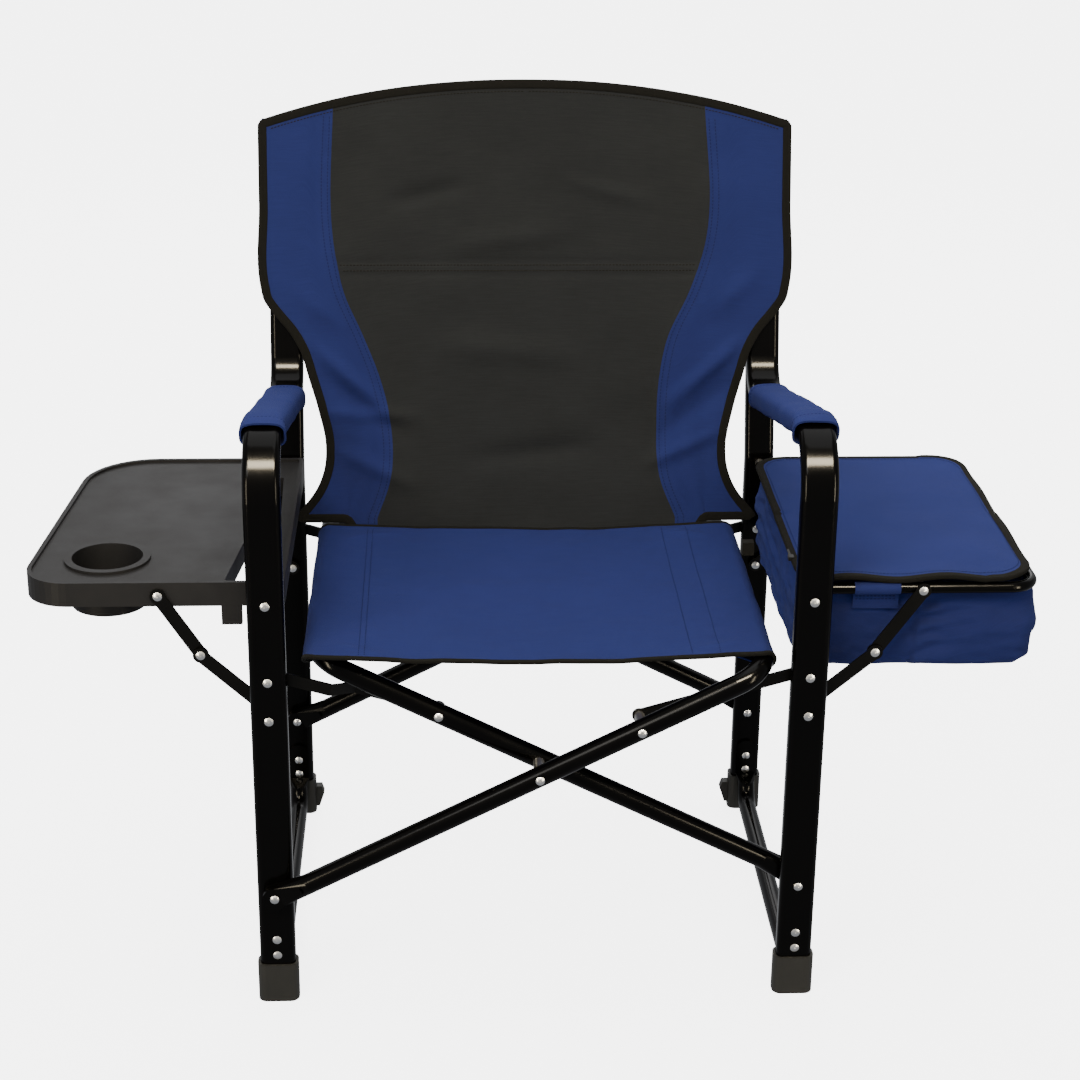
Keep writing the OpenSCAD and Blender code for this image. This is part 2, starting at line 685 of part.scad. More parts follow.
module tray_strut_rivets(at) {
    color(steel) for (rear = [0, 1]) turned(rear) {
        head(-side_x - at, side_pivot_h, leg_back + strut_upper_at - 0.05, -1);
        pin(-side_x - at, side_pivot_h, leg_back + strut_upper_at - 0.05, side_front + side_grip, rivet_d);
        head(-side_x - at, side_pivot_h, side_front + side_grip, 1);
    }
}

// Upper strut from the tray or rod down to the knuckle, lower strut from the leg up to it
module strut_upper(at, rear) {
    k = knuckle(at);
    tilt = atan2(side_pivot_h - strut_h - k[1], at - k[0]);
    color(black) turned(rear) placed_bar(-side_x - at, side_pivot_h, tilt)
        translate([0, leg_back + strut_upper_at, 0]) difference() {
            bar(upper_len(at), strut_w - 2, strut_t);
            hole_y(0, rivet_d + 2 * fit);
        }
    // the tail of the knuckle rivet, which is the pivot that is left open
    color(steel) turned(rear)
        head(-side_x - k[0], strut_h + k[1], leg_back + strut_upper_at + strut_t, 1, tail_t - 0.2);
}
module strut_lower(at, rear) {
    color(black) turned(rear) placed_bar(-side_x, strut_h, 180 + knuckle_angle(at))
        translate([0, leg_back + strut_lower_at, 0]) difference() {
            bar(lower_len(at), strut_w - 2, strut_t);
            hole_y(0, rivet_d + 2 * fit);
            hole_y(lower_len(at), rivet_d);
        }
}
module hole_y(x, d) {
    translate([x, -1, 0]) rotate([-90, 0, 0]) cylinder(d = d, h = strut_t + 2, $fn = small);
}
// The knuckle rivets and their washers, which stay in the lower struts
module knuckle_rivets(at) {
    k = knuckle(at);
    color(steel) for (rear = [0, 1]) turned(rear) {
        head(-side_x - k[0], strut_h + k[1], leg_back + strut_lower_at, -1, head_t - 0.1);
        pin(-side_x - k[0], strut_h + k[1], leg_back + strut_lower_at,
            leg_back + strut_lower_at + strut_t, rivet_d);
        pin(-side_x - k[0], strut_h + k[1], leg_back + strut_lower_at + strut_t,
            leg_back + strut_upper_at - 0.3, 8);
    }
}

// ---- Cooler bag, drawn on the +X side ----

module rod_path(d) {
    steps = [["go", rod_out - side_x - rod_bend], ["turn", rod_bend, 90],
             ["go", 2 * (mid_y - rod_y - rod_bend)], ["turn", rod_bend, 90],
             ["go", rod_out - side_x - rod_bend]];
    translate([side_x, rod_y, side_pivot_h]) rotate([0, 90, 0]) path(steps) disc(d);
}
module bag_rod() {
    color(black) difference() {
        union() {
            rod_path(rod_d);
            for (rear = [0, 1]) turned(rear)
                pin(side_x, side_pivot_h, side_front + 0.1, side_front + side_grip - 0.1, rod_d + 3);
        }
        for (rear = [0, 1]) turned(rear) {
            pin(side_x, side_pivot_h, side_front - 1, side_front + side_grip + 1, rivet_d + 2 * fit);
            pin(side_x + bag_strut_at, side_pivot_h, side_front - 1, side_front + side_grip + 1,
                rivet_d + 2 * fit);
        }
    }
}
// The bag hangs behind the rod's arms, and the rod's outer bar passes inside it through its corners
module bag_body() {
    low = side_pivot_h - bag_h;
    color(blue) difference() {
        translate([0, 0, low]) linear_extrude(bag_h + 5) polygon(rounded(
            [[bag_in, bag_front], [bag_out, bag_front], [bag_out, bag_back], [bag_in, bag_back]],
            [14, 24, 24, 14]));
        translate([0, 0, low + bag_wall]) linear_extrude(bag_h + 5) polygon(rounded(
            [[bag_in + bag_wall, bag_front + bag_wall], [bag_out - bag_wall, bag_front + bag_wall],
             [bag_out - bag_wall, bag_back - bag_wall], [bag_in + bag_wall, bag_back - bag_wall]],
            [9, 19, 19, 9]));
        rod_path(rod_d + 1.6);
    }
}
// Cloth loops that hang the bag on its rod, front and rear
module bag_loops() {
    color(blue) for (rear = [0, 1]) turned(rear) difference() {
        translate([loop_x, rod_y, side_pivot_h]) rotate([0, 90, 0]) cylinder(d = rod_d + 2.4, h = loop_len, $fn = 48);
        translate([loop_x - 1, rod_y, side_pivot_h]) rotate([0, 90, 0])
            cylinder(d = rod_d + 0.4, h = loop_len + 2, $fn = 48);
    }
}
// Webbing tab on the bag's inner rear corner
module bag_stay_strap() {
    color(dark) translate([bag_in - 14, bag_back - 30, side_pivot_h - bag_h + 4]) cube([13.8, 12, 16]);
}
module bag_lid() {
    color(blue) translate([0, 0, lid_z]) linear_extrude(lid_t) polygon(rounded(
        [[side_x - 8, side_front + 4], [lid_out, side_front + 4], [lid_out, side_back - 4],
         [side_x - 8, side_back - 4]], [16, 40, 40, 16]));
}
// Slider of the lid's zip, at its inner edge
module bag_zip_pull() {
    color(dark) translate([side_x - 14.2, side_front + 60, lid_z + 1]) {
        cube([6, 9, 4]);
        translate([2, 9, 1.2]) cube([2, 18, 1.6]);
    }
}

// ---- The whole chair ----

arm_tube();  // arm_tube_left
rear_post();  // rear_post_left
runner();  // runner_left
boot(arm_w, arm_t, arm_r, arm_mid_y);  // front_boot_left
rear_boot();  // rear_boot_left
arm_pad();  // arm_pad_left
frame_rivets();  // frame_rivets_left
pivot_rivets(true);  // pivot_rivets_left
tube_plugs();  // tube_plugs_left
side_spacers();  // side_spacers_left
mirror([1, 0, 0]) arm_tube();  // arm_tube_right
mirror([1, 0, 0]) rear_post();  // rear_post_right
mirror([1, 0, 0]) runner();  // runner_right
mirror([1, 0, 0]) boot(arm_w, arm_t, arm_r, arm_mid_y);  // front_boot_right
mirror([1, 0, 0]) rear_boot();  // rear_boot_right
mirror([1, 0, 0]) arm_pad();  // arm_pad_right
mirror([1, 0, 0]) frame_rivets();  // frame_rivets_right
mirror([1, 0, 0]) pivot_rivets(false);  // pivot_rivets_right
mirror([1, 0, 0]) tube_plugs();  // tube_plugs_right
mirror([1, 0, 0]) side_spacers();  // side_spacers_right
cross_tube(plane_a, 1);  // cross_tube_a
cross_rivets();
cross_spacers();
link_rivets(plane_a, link_x, leg_back + link_at - 0.3);  // link_rivets_a
seat_sling();
mirror([1, 0, 0]) cross_tube(plane_b, -1);  // cross_tube_b
link_rivets(plane_b, -link_x, plane_b + cross_d / 2);  // link_rivets_b
back_sling();
link(true);  // link_front_left
translate([0, frame_depth, 0]) link(true);  // link_rear_left
mirror([1, 0, 0]) link(false);  // link_front_right
translate([0, frame_depth, 0]) mirror([1, 0, 0]) link(false);  // link_rear_right
link_tails(leg_back + link_at + joggle);  // link_tails_left
mirror([1, 0, 0]) link_tails(leg_back + link_at);  // link_tails_right
tray();
tray_strut_rivets(tray_strut_at);
strut_upper(tray_strut_at, 0);  // tray_strut_upper_front
strut_upper(tray_strut_at, 1);  // tray_strut_upper_rear
strut_lower(tray_strut_at, 0);  // tray_strut_lower_front
strut_lower(tray_strut_at, 1);  // tray_strut_lower_rear
knuckle_rivets(tray_strut_at);  // tray_knuckle_rivets
bag_rod();
bag_body();
bag_loops();
bag_stay_strap();
bag_lid();
bag_zip_pull();
mirror([1, 0, 0]) tray_strut_rivets(bag_strut_at);  // bag_strut_rivets
mirror([1, 0, 0]) strut_upper(bag_strut_at, 0);  // bag_strut_upper_front
mirror([1, 0, 0]) strut_upper(bag_strut_at, 1);  // bag_strut_upper_rear
mirror([1, 0, 0]) strut_lower(bag_strut_at, 0);  // bag_strut_lower_front
mirror([1, 0, 0]) strut_lower(bag_strut_at, 1);  // bag_strut_lower_rear
mirror([1, 0, 0]) knuckle_rivets(bag_strut_at);  // bag_knuckle_rivets
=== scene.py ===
"""Folding camp chair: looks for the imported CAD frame, in metres, +Z up and -Y to the front."""

from __future__ import annotations

import logging
import math
from dataclasses import dataclass, field
from enum import Enum
from typing import Callable, Sequence

import bpy
import numpy as np
from mathutils import Matrix, Vector

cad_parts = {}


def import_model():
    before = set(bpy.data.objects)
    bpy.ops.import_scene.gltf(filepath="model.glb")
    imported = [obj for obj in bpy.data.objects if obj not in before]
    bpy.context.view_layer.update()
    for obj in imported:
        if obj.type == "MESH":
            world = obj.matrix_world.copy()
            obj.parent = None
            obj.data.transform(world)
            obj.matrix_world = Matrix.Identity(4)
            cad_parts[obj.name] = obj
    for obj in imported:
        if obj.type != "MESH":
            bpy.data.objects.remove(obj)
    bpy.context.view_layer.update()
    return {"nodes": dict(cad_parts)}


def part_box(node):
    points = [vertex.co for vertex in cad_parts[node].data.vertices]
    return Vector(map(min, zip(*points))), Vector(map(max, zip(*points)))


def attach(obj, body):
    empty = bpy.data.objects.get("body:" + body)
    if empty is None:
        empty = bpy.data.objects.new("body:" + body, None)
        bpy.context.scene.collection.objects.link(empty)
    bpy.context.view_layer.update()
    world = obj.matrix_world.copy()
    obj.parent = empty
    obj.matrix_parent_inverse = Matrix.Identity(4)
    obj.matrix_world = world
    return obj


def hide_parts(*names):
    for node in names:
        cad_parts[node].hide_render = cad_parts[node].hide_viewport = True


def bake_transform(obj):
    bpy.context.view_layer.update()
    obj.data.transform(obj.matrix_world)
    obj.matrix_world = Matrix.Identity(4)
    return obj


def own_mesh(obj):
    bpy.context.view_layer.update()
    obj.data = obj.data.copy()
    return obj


LOG = logging.getLogger("camp_chair")
SEED = 7
Array = np.ndarray


class Side(Enum):
    """A side of the chair as seen from the front, with the sign of its X."""

    LEFT = -1
    RIGHT = 1

    @property
    def word(self) -> str:
        """The side's name in node and body names."""
        return self.name.lower()


# ---------------------------------------------------------------------------
# Colour and shader helpers
# ---------------------------------------------------------------------------


def linear(hex_colour: str, gain: float = 1.0) -> tuple[float, float, float, float]:
    """Turns an sRGB hex colour into linear RGBA.

    Args:
        hex_colour: Six hex digits, with or without a leading #.
        gain: Factor on the linear value.

    Returns:
        Red, green, blue and an alpha of 1.
    """
    digits = hex_colour.lstrip("#")
    out = []
    for i in (0, 2, 4):
        c = int(digits[i : i + 2], 16) / 255
        out.append(gain * (c / 12.92 if c <= 0.04045 else ((c + 0.055) / 1.055) ** 2.4))
    return out[0], out[1], out[2], 1.0


def add_node(tree: bpy.types.NodeTree, kind: str, inputs: dict | None = None, **settings) -> bpy.types.Node:
    """Adds a node, sets its properties, and sets or links its inputs.

    Args:
        tree: Node tree that gets the node.
        kind: Node type, such as ShaderNodeBump.
        inputs: Socket name or index to a value, or to an output socket to link from.
        **settings: Properties of the node itself.

    Returns:
        The new node.
    """
    made = tree.nodes.new(kind)
    for key, value in settings.items():
        setattr(made, key, value)
    for key, value in (inputs or {}).items():
        if isinstance(value, bpy.types.NodeSocket):
            tree.links.new(value, made.inputs[key])
        else:
            made.inputs[key].default_value = value
    return made


def math_node(tree: bpy.types.NodeTree, operation: str, *values) -> bpy.types.NodeSocket:
    """Adds a Math node.

    Args:
        tree: Node tree that gets the node.
        operation: Blender's name of the operation.
        *values: Numbers or output sockets, in order.

    Returns:
        The node's output socket.
    """
    return add_node(tree, "ShaderNodeMath", dict(enumerate(values)), operation=operation).outputs[0]


def new_material(name: str) -> tuple[bpy.types.Material, bpy.types.NodeTree, bpy.types.Node]:
    """Starts a material with a Principled BSDF.

    Args:
        name: Name of the real material.

    Returns:
        The material, its node tree and its shader node.
    """
    material = bpy.data.materials.new(name)
    material.use_nodes = True
    tree = material.node_tree
    tree.nodes.clear()
    shader = add_node(tree, "ShaderNodeBsdfPrincipled")
    add_node(tree, "ShaderNodeOutputMaterial", {"Surface": shader.outputs[0]})
    return material, tree, shader


@dataclass(frozen=True)
class Solid:
    """A smooth or finely grained finish.

    Attributes:
        name: Name of the real material.
        colour: sRGB hex colour.
        roughness: Mean roughness.
        metallic: 1 for bare metal.
        coat: Weight of a clear gloss over it.
        grain_mm: Size of the surface grain.
        grain_depth_mm: Depth of the grain.
        specular: Specular level.
        cells: True for a moulded leather grain on the tray's deck in place of noise.
        vary: How far roughness and colour vary.
    """

    name: str
    colour: str
    roughness: float
    metallic: float = 0.0
    coat: float = 0.0
    grain_mm: float = 2.0
    grain_depth_mm: float = 0.01
    specular: float = 0.5
    cells: bool = False
    vary: float = 0.1

    def build(self) -> bpy.types.Material:
        """Builds the material.

        Returns:
            The finished material.
        """
        material, tree, shader = new_material(self.name)
        place = add_node(tree, "ShaderNodeTexCoord").outputs["Object"]
        if self.cells:
            tex = add_node(tree, "ShaderNodeTexVoronoi", {"Vector": place, "Scale": 1000 / self.grain_mm},
                           feature="DISTANCE_TO_EDGE")
            level = add_node(tree, "ShaderNodeSeparateXYZ", {0: place}).outputs[2]
            deck = math_node(tree, "MULTIPLY", math_node(tree, "GREATER_THAN", level, 0.4742),
                             math_node(tree, "LESS_THAN", level, 0.4758))
            cells = math_node(tree, "MINIMUM", tex.outputs["Distance"], 0.22)
            height = math_node(tree, "MULTIPLY", deck, cells)
        else:
            tex = add_node(tree, "ShaderNodeTexNoise",
                           {"Vector": place, "Scale": 1000 / self.grain_mm, "Detail": 3.0})
            height = tex.outputs["Fac"]
        bump = add_node(tree, "ShaderNodeBump",
                        {"Height": height, "Strength": 1.0, "Distance": self.grain_depth_mm / 1000})
        cloud = add_node(tree, "ShaderNodeTexNoise", {"Vector": place, "Scale": 22.0, "Detail": 4.0})
        rough = add_node(tree, "ShaderNodeMapRange", {
            "Value": cloud.outputs["Fac"], "From Min": 0.3, "From Max": 0.7,
            "To Min": self.roughness * (1 - self.vary), "To Max": self.roughness * (1 + self.vary)})
        base = linear(self.colour)
        tint = add_node(tree, "ShaderNodeMix", {
            0: cloud.outputs["Fac"], 6: tuple(c * (1 - self.vary) for c in base[:3]) + (1.0,),
            7: tuple(c * (1 + self.vary) for c in base[:3]) + (1.0,)}, data_type="RGBA")
        for socket, value in (("Metallic", self.metallic), ("Coat Weight", self.coat),
                              ("Coat Roughness", 0.12), ("Specular IOR Level", self.specular)):
            shader.inputs[socket].default_value = value
        tree.links.new(tint.outputs[2], shader.inputs["Base Color"])
        tree.links.new(rough.outputs[0], shader.inputs["Roughness"])
        tree.links.new(bump.outputs[0], shader.inputs["Normal"])
        return material


@dataclass(frozen=True)
class Cloth:
    """Woven polyester; the weave runs along the piece's UV map, which is in metres.

    Attributes:
        name: Name of the real cloth.
        colour: sRGB hex colour.
        pitch_mm: Distance between threads.
        depth_mm: Height of the threads.
        roughness: Roughness of the threads.
        sheen: Weight of the sheen from loose fibres.
        heather: Contrast between threads.
    """

    name: str
    colour: str
    pitch_mm: float = 0.75
    depth_mm: float = 0.16
    roughness: float = 0.82
    sheen: float = 0.02
    heather: float = 0.22

    def build(self) -> bpy.types.Material:
        """Builds the material.

        Returns:
            The finished material.
        """
        material, tree, shader = new_material(self.name)
        uv = add_node(tree, "ShaderNodeUVMap", uv_map="UVMap").outputs[0]
        parts = add_node(tree, "ShaderNodeSeparateXYZ", {0: uv})
        per_metre = 1000 / self.pitch_mm
        u = math_node(tree, "MULTIPLY", parts.outputs[0], per_metre)
        v = math_node(tree, "MULTIPLY", parts.outputs[1], per_metre)
        hill_u, hill_v = (math_node(tree, "ABSOLUTE", math_node(
            tree, "SINE", math_node(tree, "MULTIPLY", w, math.pi))) for w in (u, v))
        odd = math_node(tree, "MODULO", math_node(tree, "ABSOLUTE", math_node(
            tree, "ADD", math_node(tree, "FLOOR", u), math_node(tree, "FLOOR", v))), 2.0)
        over = add_node(tree, "ShaderNodeMix", {0: odd, 2: hill_u, 3: hill_v}).outputs[0]
        threads = add_node(tree, "ShaderNodeTexNoise", {
            "Vector": add_node(tree, "ShaderNodeCombineXYZ", {0: u, 1: v}).outputs[0],
            "Scale": 0.9, "Detail": 2.0}).outputs["Fac"]
        slubs = add_node(tree, "ShaderNodeTexNoise", {
            "Vector": add_node(tree, "ShaderNodeCombineXYZ", {
                0: math_node(tree, "MULTIPLY", u, 0.05), 1: v}).outputs[0],
            "Scale": 0.45, "Detail": 2.0}).outputs["Fac"]
        wear = add_node(tree, "ShaderNodeTexNoise", {
            "Vector": add_node(tree, "ShaderNodeTexCoord").outputs["Object"],
            "Scale": 14.0, "Detail": 5.0}).outputs["Fac"]
        height = math_node(tree, "ADD", over, math_node(tree, "MULTIPLY", threads, 0.8))
        fine = add_node(tree, "ShaderNodeBump",
                        {"Height": height, "Strength": 1.0, "Distance": self.depth_mm / 1000})
        soft = add_node(tree, "ShaderNodeBump", {
            "Height": wear, "Strength": 1.0, "Distance": 0.0012, "Normal": fine.outputs[0]})
        mixed = math_node(tree, "ADD", math_node(tree, "MULTIPLY", threads, 0.6),
                          math_node(tree, "MULTIPLY", slubs, 0.4))
        shade = math_node(tree, "ADD", math_node(tree, "MULTIPLY", mixed, 0.75),
                          math_node(tree, "MULTIPLY", wear, 0.25))
        base = linear(self.colour)
        low, high = 1 - 1.6 * self.heather, 1 + 1.6 * self.heather
        tint = add_node(tree, "ShaderNodeMix", {
            0: shade, 6: tuple(c * low for c in base[:3]) + (1.0,),
            7: tuple(min(1.0, c * high) for c in base[:3]) + (1.0,)}, data_type="RGBA")
        shader.inputs["Roughness"].default_value = self.roughness
        shader.inputs["Sheen Weight"].default_value = self.sheen
        shader.inputs["Sheen Roughness"].default_value = 0.45
        shader.inputs["Specular IOR Level"].default_value = 0.03
        tree.links.new(tint.outputs[2], shader.inputs["Base Color"])
        tree.links.new(soft.outputs[0], shader.inputs["Normal"])
        return material


@dataclass
class Finishes:
    """Every material of the chair, built once.

    Attributes:
        made: Built materials by name.
    """

    made: dict[str, bpy.types.Material] = field(default_factory=dict)

    # Gloss black powder coat on steel tube
    tube = Solid("black_powder_coat", "#070605", 0.17, grain_mm=1.6, grain_depth_mm=0.004, specular=0.07)
    # Semi-gloss black paint on the flat steel bars
    bar = Solid("black_painted_bar", "#0a0907", 0.3, grain_mm=1.2, grain_depth_mm=0.006, specular=0.1)
    # Zinc-plated steel rivets and sleeves
    zinc = Solid("zinc_plated_steel", "#a9abae", 0.3, metallic=1.0, grain_mm=0.8, grain_depth_mm=0.004)
    # Black PVC boots on the feet
    boot = Solid("black_pvc", "#2b2a26", 0.5, grain_mm=0.7, grain_depth_mm=0.02, specular=0.2)
    # Black nylon plugs, zip slider
    nylon = Solid("black_nylon", "#0d0c0b", 0.45, grain_mm=0.8, grain_depth_mm=0.01, specular=0.2)
    # Black nylon webbing
    webbing = Solid("black_nylon_webbing", "#100f0c", 0.75, grain_mm=1.1, grain_depth_mm=0.15, specular=0.1)
    # Moulded polypropylene tray with a leather grain
    tray = Solid("charcoal_polypropylene", "#232222", 0.5, grain_mm=1.4, grain_depth_mm=0.07, cells=True,
                 specular=0.1)
    # 600-denier Oxford polyester, blue
    blue = Cloth("blue_oxford_polyester", "#2a346d")
    # 600-denier Oxford polyester, black
    black = Cloth("black_oxford_polyester", "#2f302f", heather=0.3)
    # Folded grosgrain tape round the cloth's edges
    tape = Cloth("black_grosgrain_tape", "#191814", pitch_mm=1.1, depth_mm=0.25, heather=0.2)
    # Bonded sewing thread
    blue_thread = Solid("blue_sewing_thread", "#1b2555", 0.7, grain_mm=0.4, grain_depth_mm=0.02, specular=0.05)
    black_thread = Solid("black_sewing_thread", "#1a1916", 0.7, grain_mm=0.4, grain_depth_mm=0.02, specular=0.05)

    def get(self, finish: Solid | Cloth) -> bpy.types.Material:
        """Builds a finish on first use.

        Args:
            finish: The finish wanted.

        Returns:
            Its material.
        """
        if finish.name not in self.made:
            self.made[finish.name] = finish.build()
        return self.made[finish.name]


# ---------------------------------------------------------------------------
# Geometry helpers
# ---------------------------------------------------------------------------


def smooth_noise(x: Array, y: Array, cell: float, seed: int) -> Array:
    """Smooth noise between -1 and 1.

    Args:
        x: First coordinate, in metres.
        y: Second coordinate, in metres.
        cell: Size of a hill, in metres.
        seed: Which pattern.

    Returns:
        The noise at each point.
    """
    grid = np.random.default_rng(SEED + seed).uniform(-1, 1, (96, 96))
    gx, gy = np.asarray(x) / cell + 40.3, np.asarray(y) / cell + 40.7
    ix, iy = np.floor(gx).astype(int), np.floor(gy).astype(int)
    fx, fy = gx - ix, gy - iy
    fx, fy = fx * fx * (3 - 2 * fx), fy * fy * (3 - 2 * fy)
    at = lambda i, j: grid[(ix + i) % 96, (iy + j) % 96]  # noqa: E731
    return ((at(0, 0) * (1 - fx) + at(1, 0) * fx) * (1 - fy) + (at(0, 1) * (1 - fx) + at(1, 1) * fx) * fy)


def fold_line(x: Array, y: Array, start: Sequence[float], end: Sequence[float], width: float,
              height: float) -> Array:
    """Height of one soft fold that fades towards both its ends.

    Args:
        x: First coordinate, in metres.
        y: Second coordinate, in metres.
        start: First end of the fold.
        end: Second end of the fold.
        width: Half width of the fold.
        height: Height of the fold; negative for a valley.

    Returns:
        The height at each point.
    """
    sx, sy = start
    dx, dy = end[0] - sx, end[1] - sy
    length = math.hypot(dx, dy)
    along = ((x - sx) * dx + (y - sy) * dy) / length**2
    across = ((x - sx) * dy - (y - sy) * dx) / length
    fade = np.clip(np.sin(np.clip(along, 0, 1) * math.pi), 0, 1)
    return height * fade * np.exp(-((across / width) ** 2))


def arc_lengths(points: Array, axis: int) -> Array:
    """Length along a grid of points, from its first line.

    Args:
        points: Grid of points, rows by columns by 3.
        axis: 0 along the rows, 1 along the columns.

    Returns:
        The length at each point.
    """
    step = np.linalg.norm(np.diff(points, axis=axis), axis=2)
    pad = [(0, 0), (0, 0)]
    pad[axis] = (1, 0)
    return np.pad(np.cumsum(step, axis=axis), pad)


def grid_normals(points: Array, wrap: bool) -> Array:
    """Unit normals of a grid of points.

    Args:
        points: Rows by columns by 3.
        wrap: True if the columns close on themselves.

    Returns:
        The normal at each point.
    """
    if wrap:
        du = np.roll(points, -1, axis=1) - np.roll(points, 1, axis=1)
    else:
        du = np.gradient(points, axis=1)
    dv = np.gradient(points, axis=0)
    n = np.cross(du, dv)
    return n / np.maximum(np.linalg.norm(n, axis=2, keepdims=True), 1e-12)


def make_object(name: str, verts: Array, faces: list, uvs: Array, finishes: Sequence[bpy.types.Material],
                face_material: Sequence[int] | None = None, sharp: float = 50.0) -> bpy.types.Object:
    """Makes a smooth-shaded mesh object.

    Args:
        name: Name of the object.
        verts: Points in the row frame.
        faces: Index tuples.
        uvs: A UV pair for each vertex, in metres.
        finishes: Materials of the object.
        face_material: Material index of each face.
        sharp: Edges sharper than this many degrees are not smoothed.

    Returns:
        The object, linked to the scene.
    """
    mesh = bpy.data.meshes.new(name)
    mesh.from_pydata([tuple(v) for v in verts], [], faces)
    mesh.update()
    layer = mesh.uv_layers.new(name="UVMap")
    index = np.zeros(len(mesh.loops), np.int32)
    mesh.loops.foreach_get("vertex_index", index)
    layer.data.foreach_set("uv", np.asarray(uvs, np.float32)[index].ravel())
    for m in finishes:
        mesh.materials.append(m)
    if face_material is not None:
        mesh.polygons.foreach_set("material_index", np.asarray(face_material, np.int32))
    mesh.shade_smooth()
    mesh.set_sharp_from_angle(angle=math.radians(sharp))
    obj = bpy.data.objects.new(name, mesh)
    bpy.context.scene.collection.objects.link(obj)
    return obj


def shell(name: str, middle: Array, thickness: float, finishes: Sequence[bpy.types.Material],
          wrap: bool = False, column_material: Sequence[int] | None = None) -> bpy.types.Object:
    """Makes a closed sheet of even thickness about a grid of points.

    Args:
        name: Name of the object.
        middle: Rows by columns by 3, the sheet's middle.
        thickness: Thickness, in metres.
        finishes: Materials of the object.
        wrap: True if the columns close on themselves.
        column_material: Material index of each strip between two columns.

    Returns:
        The object.
    """
    rows, cols = middle.shape[:2]
    normal = grid_normals(middle, wrap) * thickness / 2
    verts = np.concatenate([(middle + normal).reshape(-1, 3), (middle - normal).reshape(-1, 3)])
    u, v = arc_lengths(middle, 1), arc_lengths(middle, 0)
    uv = np.stack([u, v], axis=2).reshape(-1, 2)
    count = rows * cols
    faces, mats = [], []
    spans = cols if wrap else cols - 1
    for i in range(rows - 1):
        for j in range(spans):
            k = (j + 1) % cols
            a, b, c, d = i * cols + j, i * cols + k, (i + 1) * cols + k, (i + 1) * cols + j
            m = column_material[j] if column_material is not None else 0
            faces += [(a, b, c, d), (count + d, count + c, count + b, count + a)]
            mats += [m, m]
    for j in range(spans):
        k = (j + 1) % cols
        last = (rows - 1) * cols
        m = column_material[j] if column_material is not None else 0
        faces += [(k, j, count + j, count + k), (last + j, last + k, count + last + k, count + last + j)]
        mats += [m, m]
    if not wrap:
        for i in range(rows - 1):
            a, b = i * cols, (i + 1) * cols
            e, f = a + cols - 1, b + cols - 1
            faces += [(a, b, count + b, count + a), (f, e, count + e, count + f)]
            mats += [0, column_material[-1] if column_material is not None else 0]
    return make_object(name, verts, faces, np.concatenate([uv, uv]), finishes, mats)


def resample(points: Sequence[Sequence[float]], step: float, closed: bool = False) -> Array:
    """Spaces points evenly along a line.

    Args:
        points: The line's corners.
        step: Wanted spacing, in metres.
        closed: True for a loop.

    Returns:
        Evenly spaced points; a loop's first point isn't repeated.
    """
    p = np.asarray(points, float)
    if closed:
        p = np.vstack([p, p[:1]])
    s = np.concatenate([[0], np.cumsum(np.linalg.norm(np.diff(p, axis=0), axis=1))])
    n = max(3, int(round(s[-1] / step)))
    t = np.linspace(0, s[-1], n + 1)[: n if closed else n + 1]
    return np.stack([np.interp(t, s, p[:, k]) for k in range(3)], axis=1)


def sweep(name: str, path: Array, up: Array, profile: Array, finish: bpy.types.Material,
          closed: bool = False) -> bpy.types.Object:
    """Sweeps a closed profile along a path.

    Args:
        name: Name of the object.
        path: Points of the path.
        up: A direction at each point that the profile's second axis follows.
        profile: Profile points (across, up), in metres.
        finish: Material.
        closed: True if the path is a loop.

    Returns:
        The object.
    """
    n, m = len(path), len(profile)
    if closed:
        tangent = np.roll(path, -1, axis=0) - np.roll(path, 1, axis=0)
    else:
        tangent = np.gradient(path, axis=0)
    tangent /= np.linalg.norm(tangent, axis=1, keepdims=True)
    side = np.cross(tangent, up)
    side /= np.linalg.norm(side, axis=1, keepdims=True)
    top = np.cross(side, tangent)
    verts = (path[:, None] + side[:, None] * profile[None, :, :1] + top[:, None] * profile[None, :, 1:])
    run = np.concatenate([[0], np.cumsum(np.linalg.norm(np.diff(path, axis=0), axis=1))])
    rim = np.concatenate([[0], np.cumsum(np.linalg.norm(np.diff(profile, axis=0), axis=1))])
    uv = np.stack(np.broadcast_arrays(rim[None, :], run[:, None]), axis=2).reshape(-1, 2)
    faces: list = []
    for i in range(n if closed else n - 1):
        a, b = i * m, ((i + 1) % n) * m
        faces += [(a + j, a + (j + 1) % m, b + (j + 1) % m, b + j) for j in range(m)]
    if not closed:
        faces += [tuple(range(m - 1, -1, -1)), tuple((n - 1) * m + j for j in range(m))]
    return make_object(name, verts.reshape(-1, 3), faces, uv, [finish])


def tape_profile(width: float, thick: float, count: int = 14) -> Array:
    """Rounded flat section of a binding tape.

    Args:
        width: Width, in metres.
        thick: Thickness, in metres.
        count: Number of points.

    Returns:
        Points (across, up).
    """
    t = np.arange(count) / count * 2 * math.pi
    power = 0.45
    return np.stack([width / 2 * np.sign(np.cos(t)) * np.abs(np.cos(t)) ** power,
                     thick / 2 * np.sign(np.sin(t)) * np.abs(np.sin(t)) ** power], axis=1)


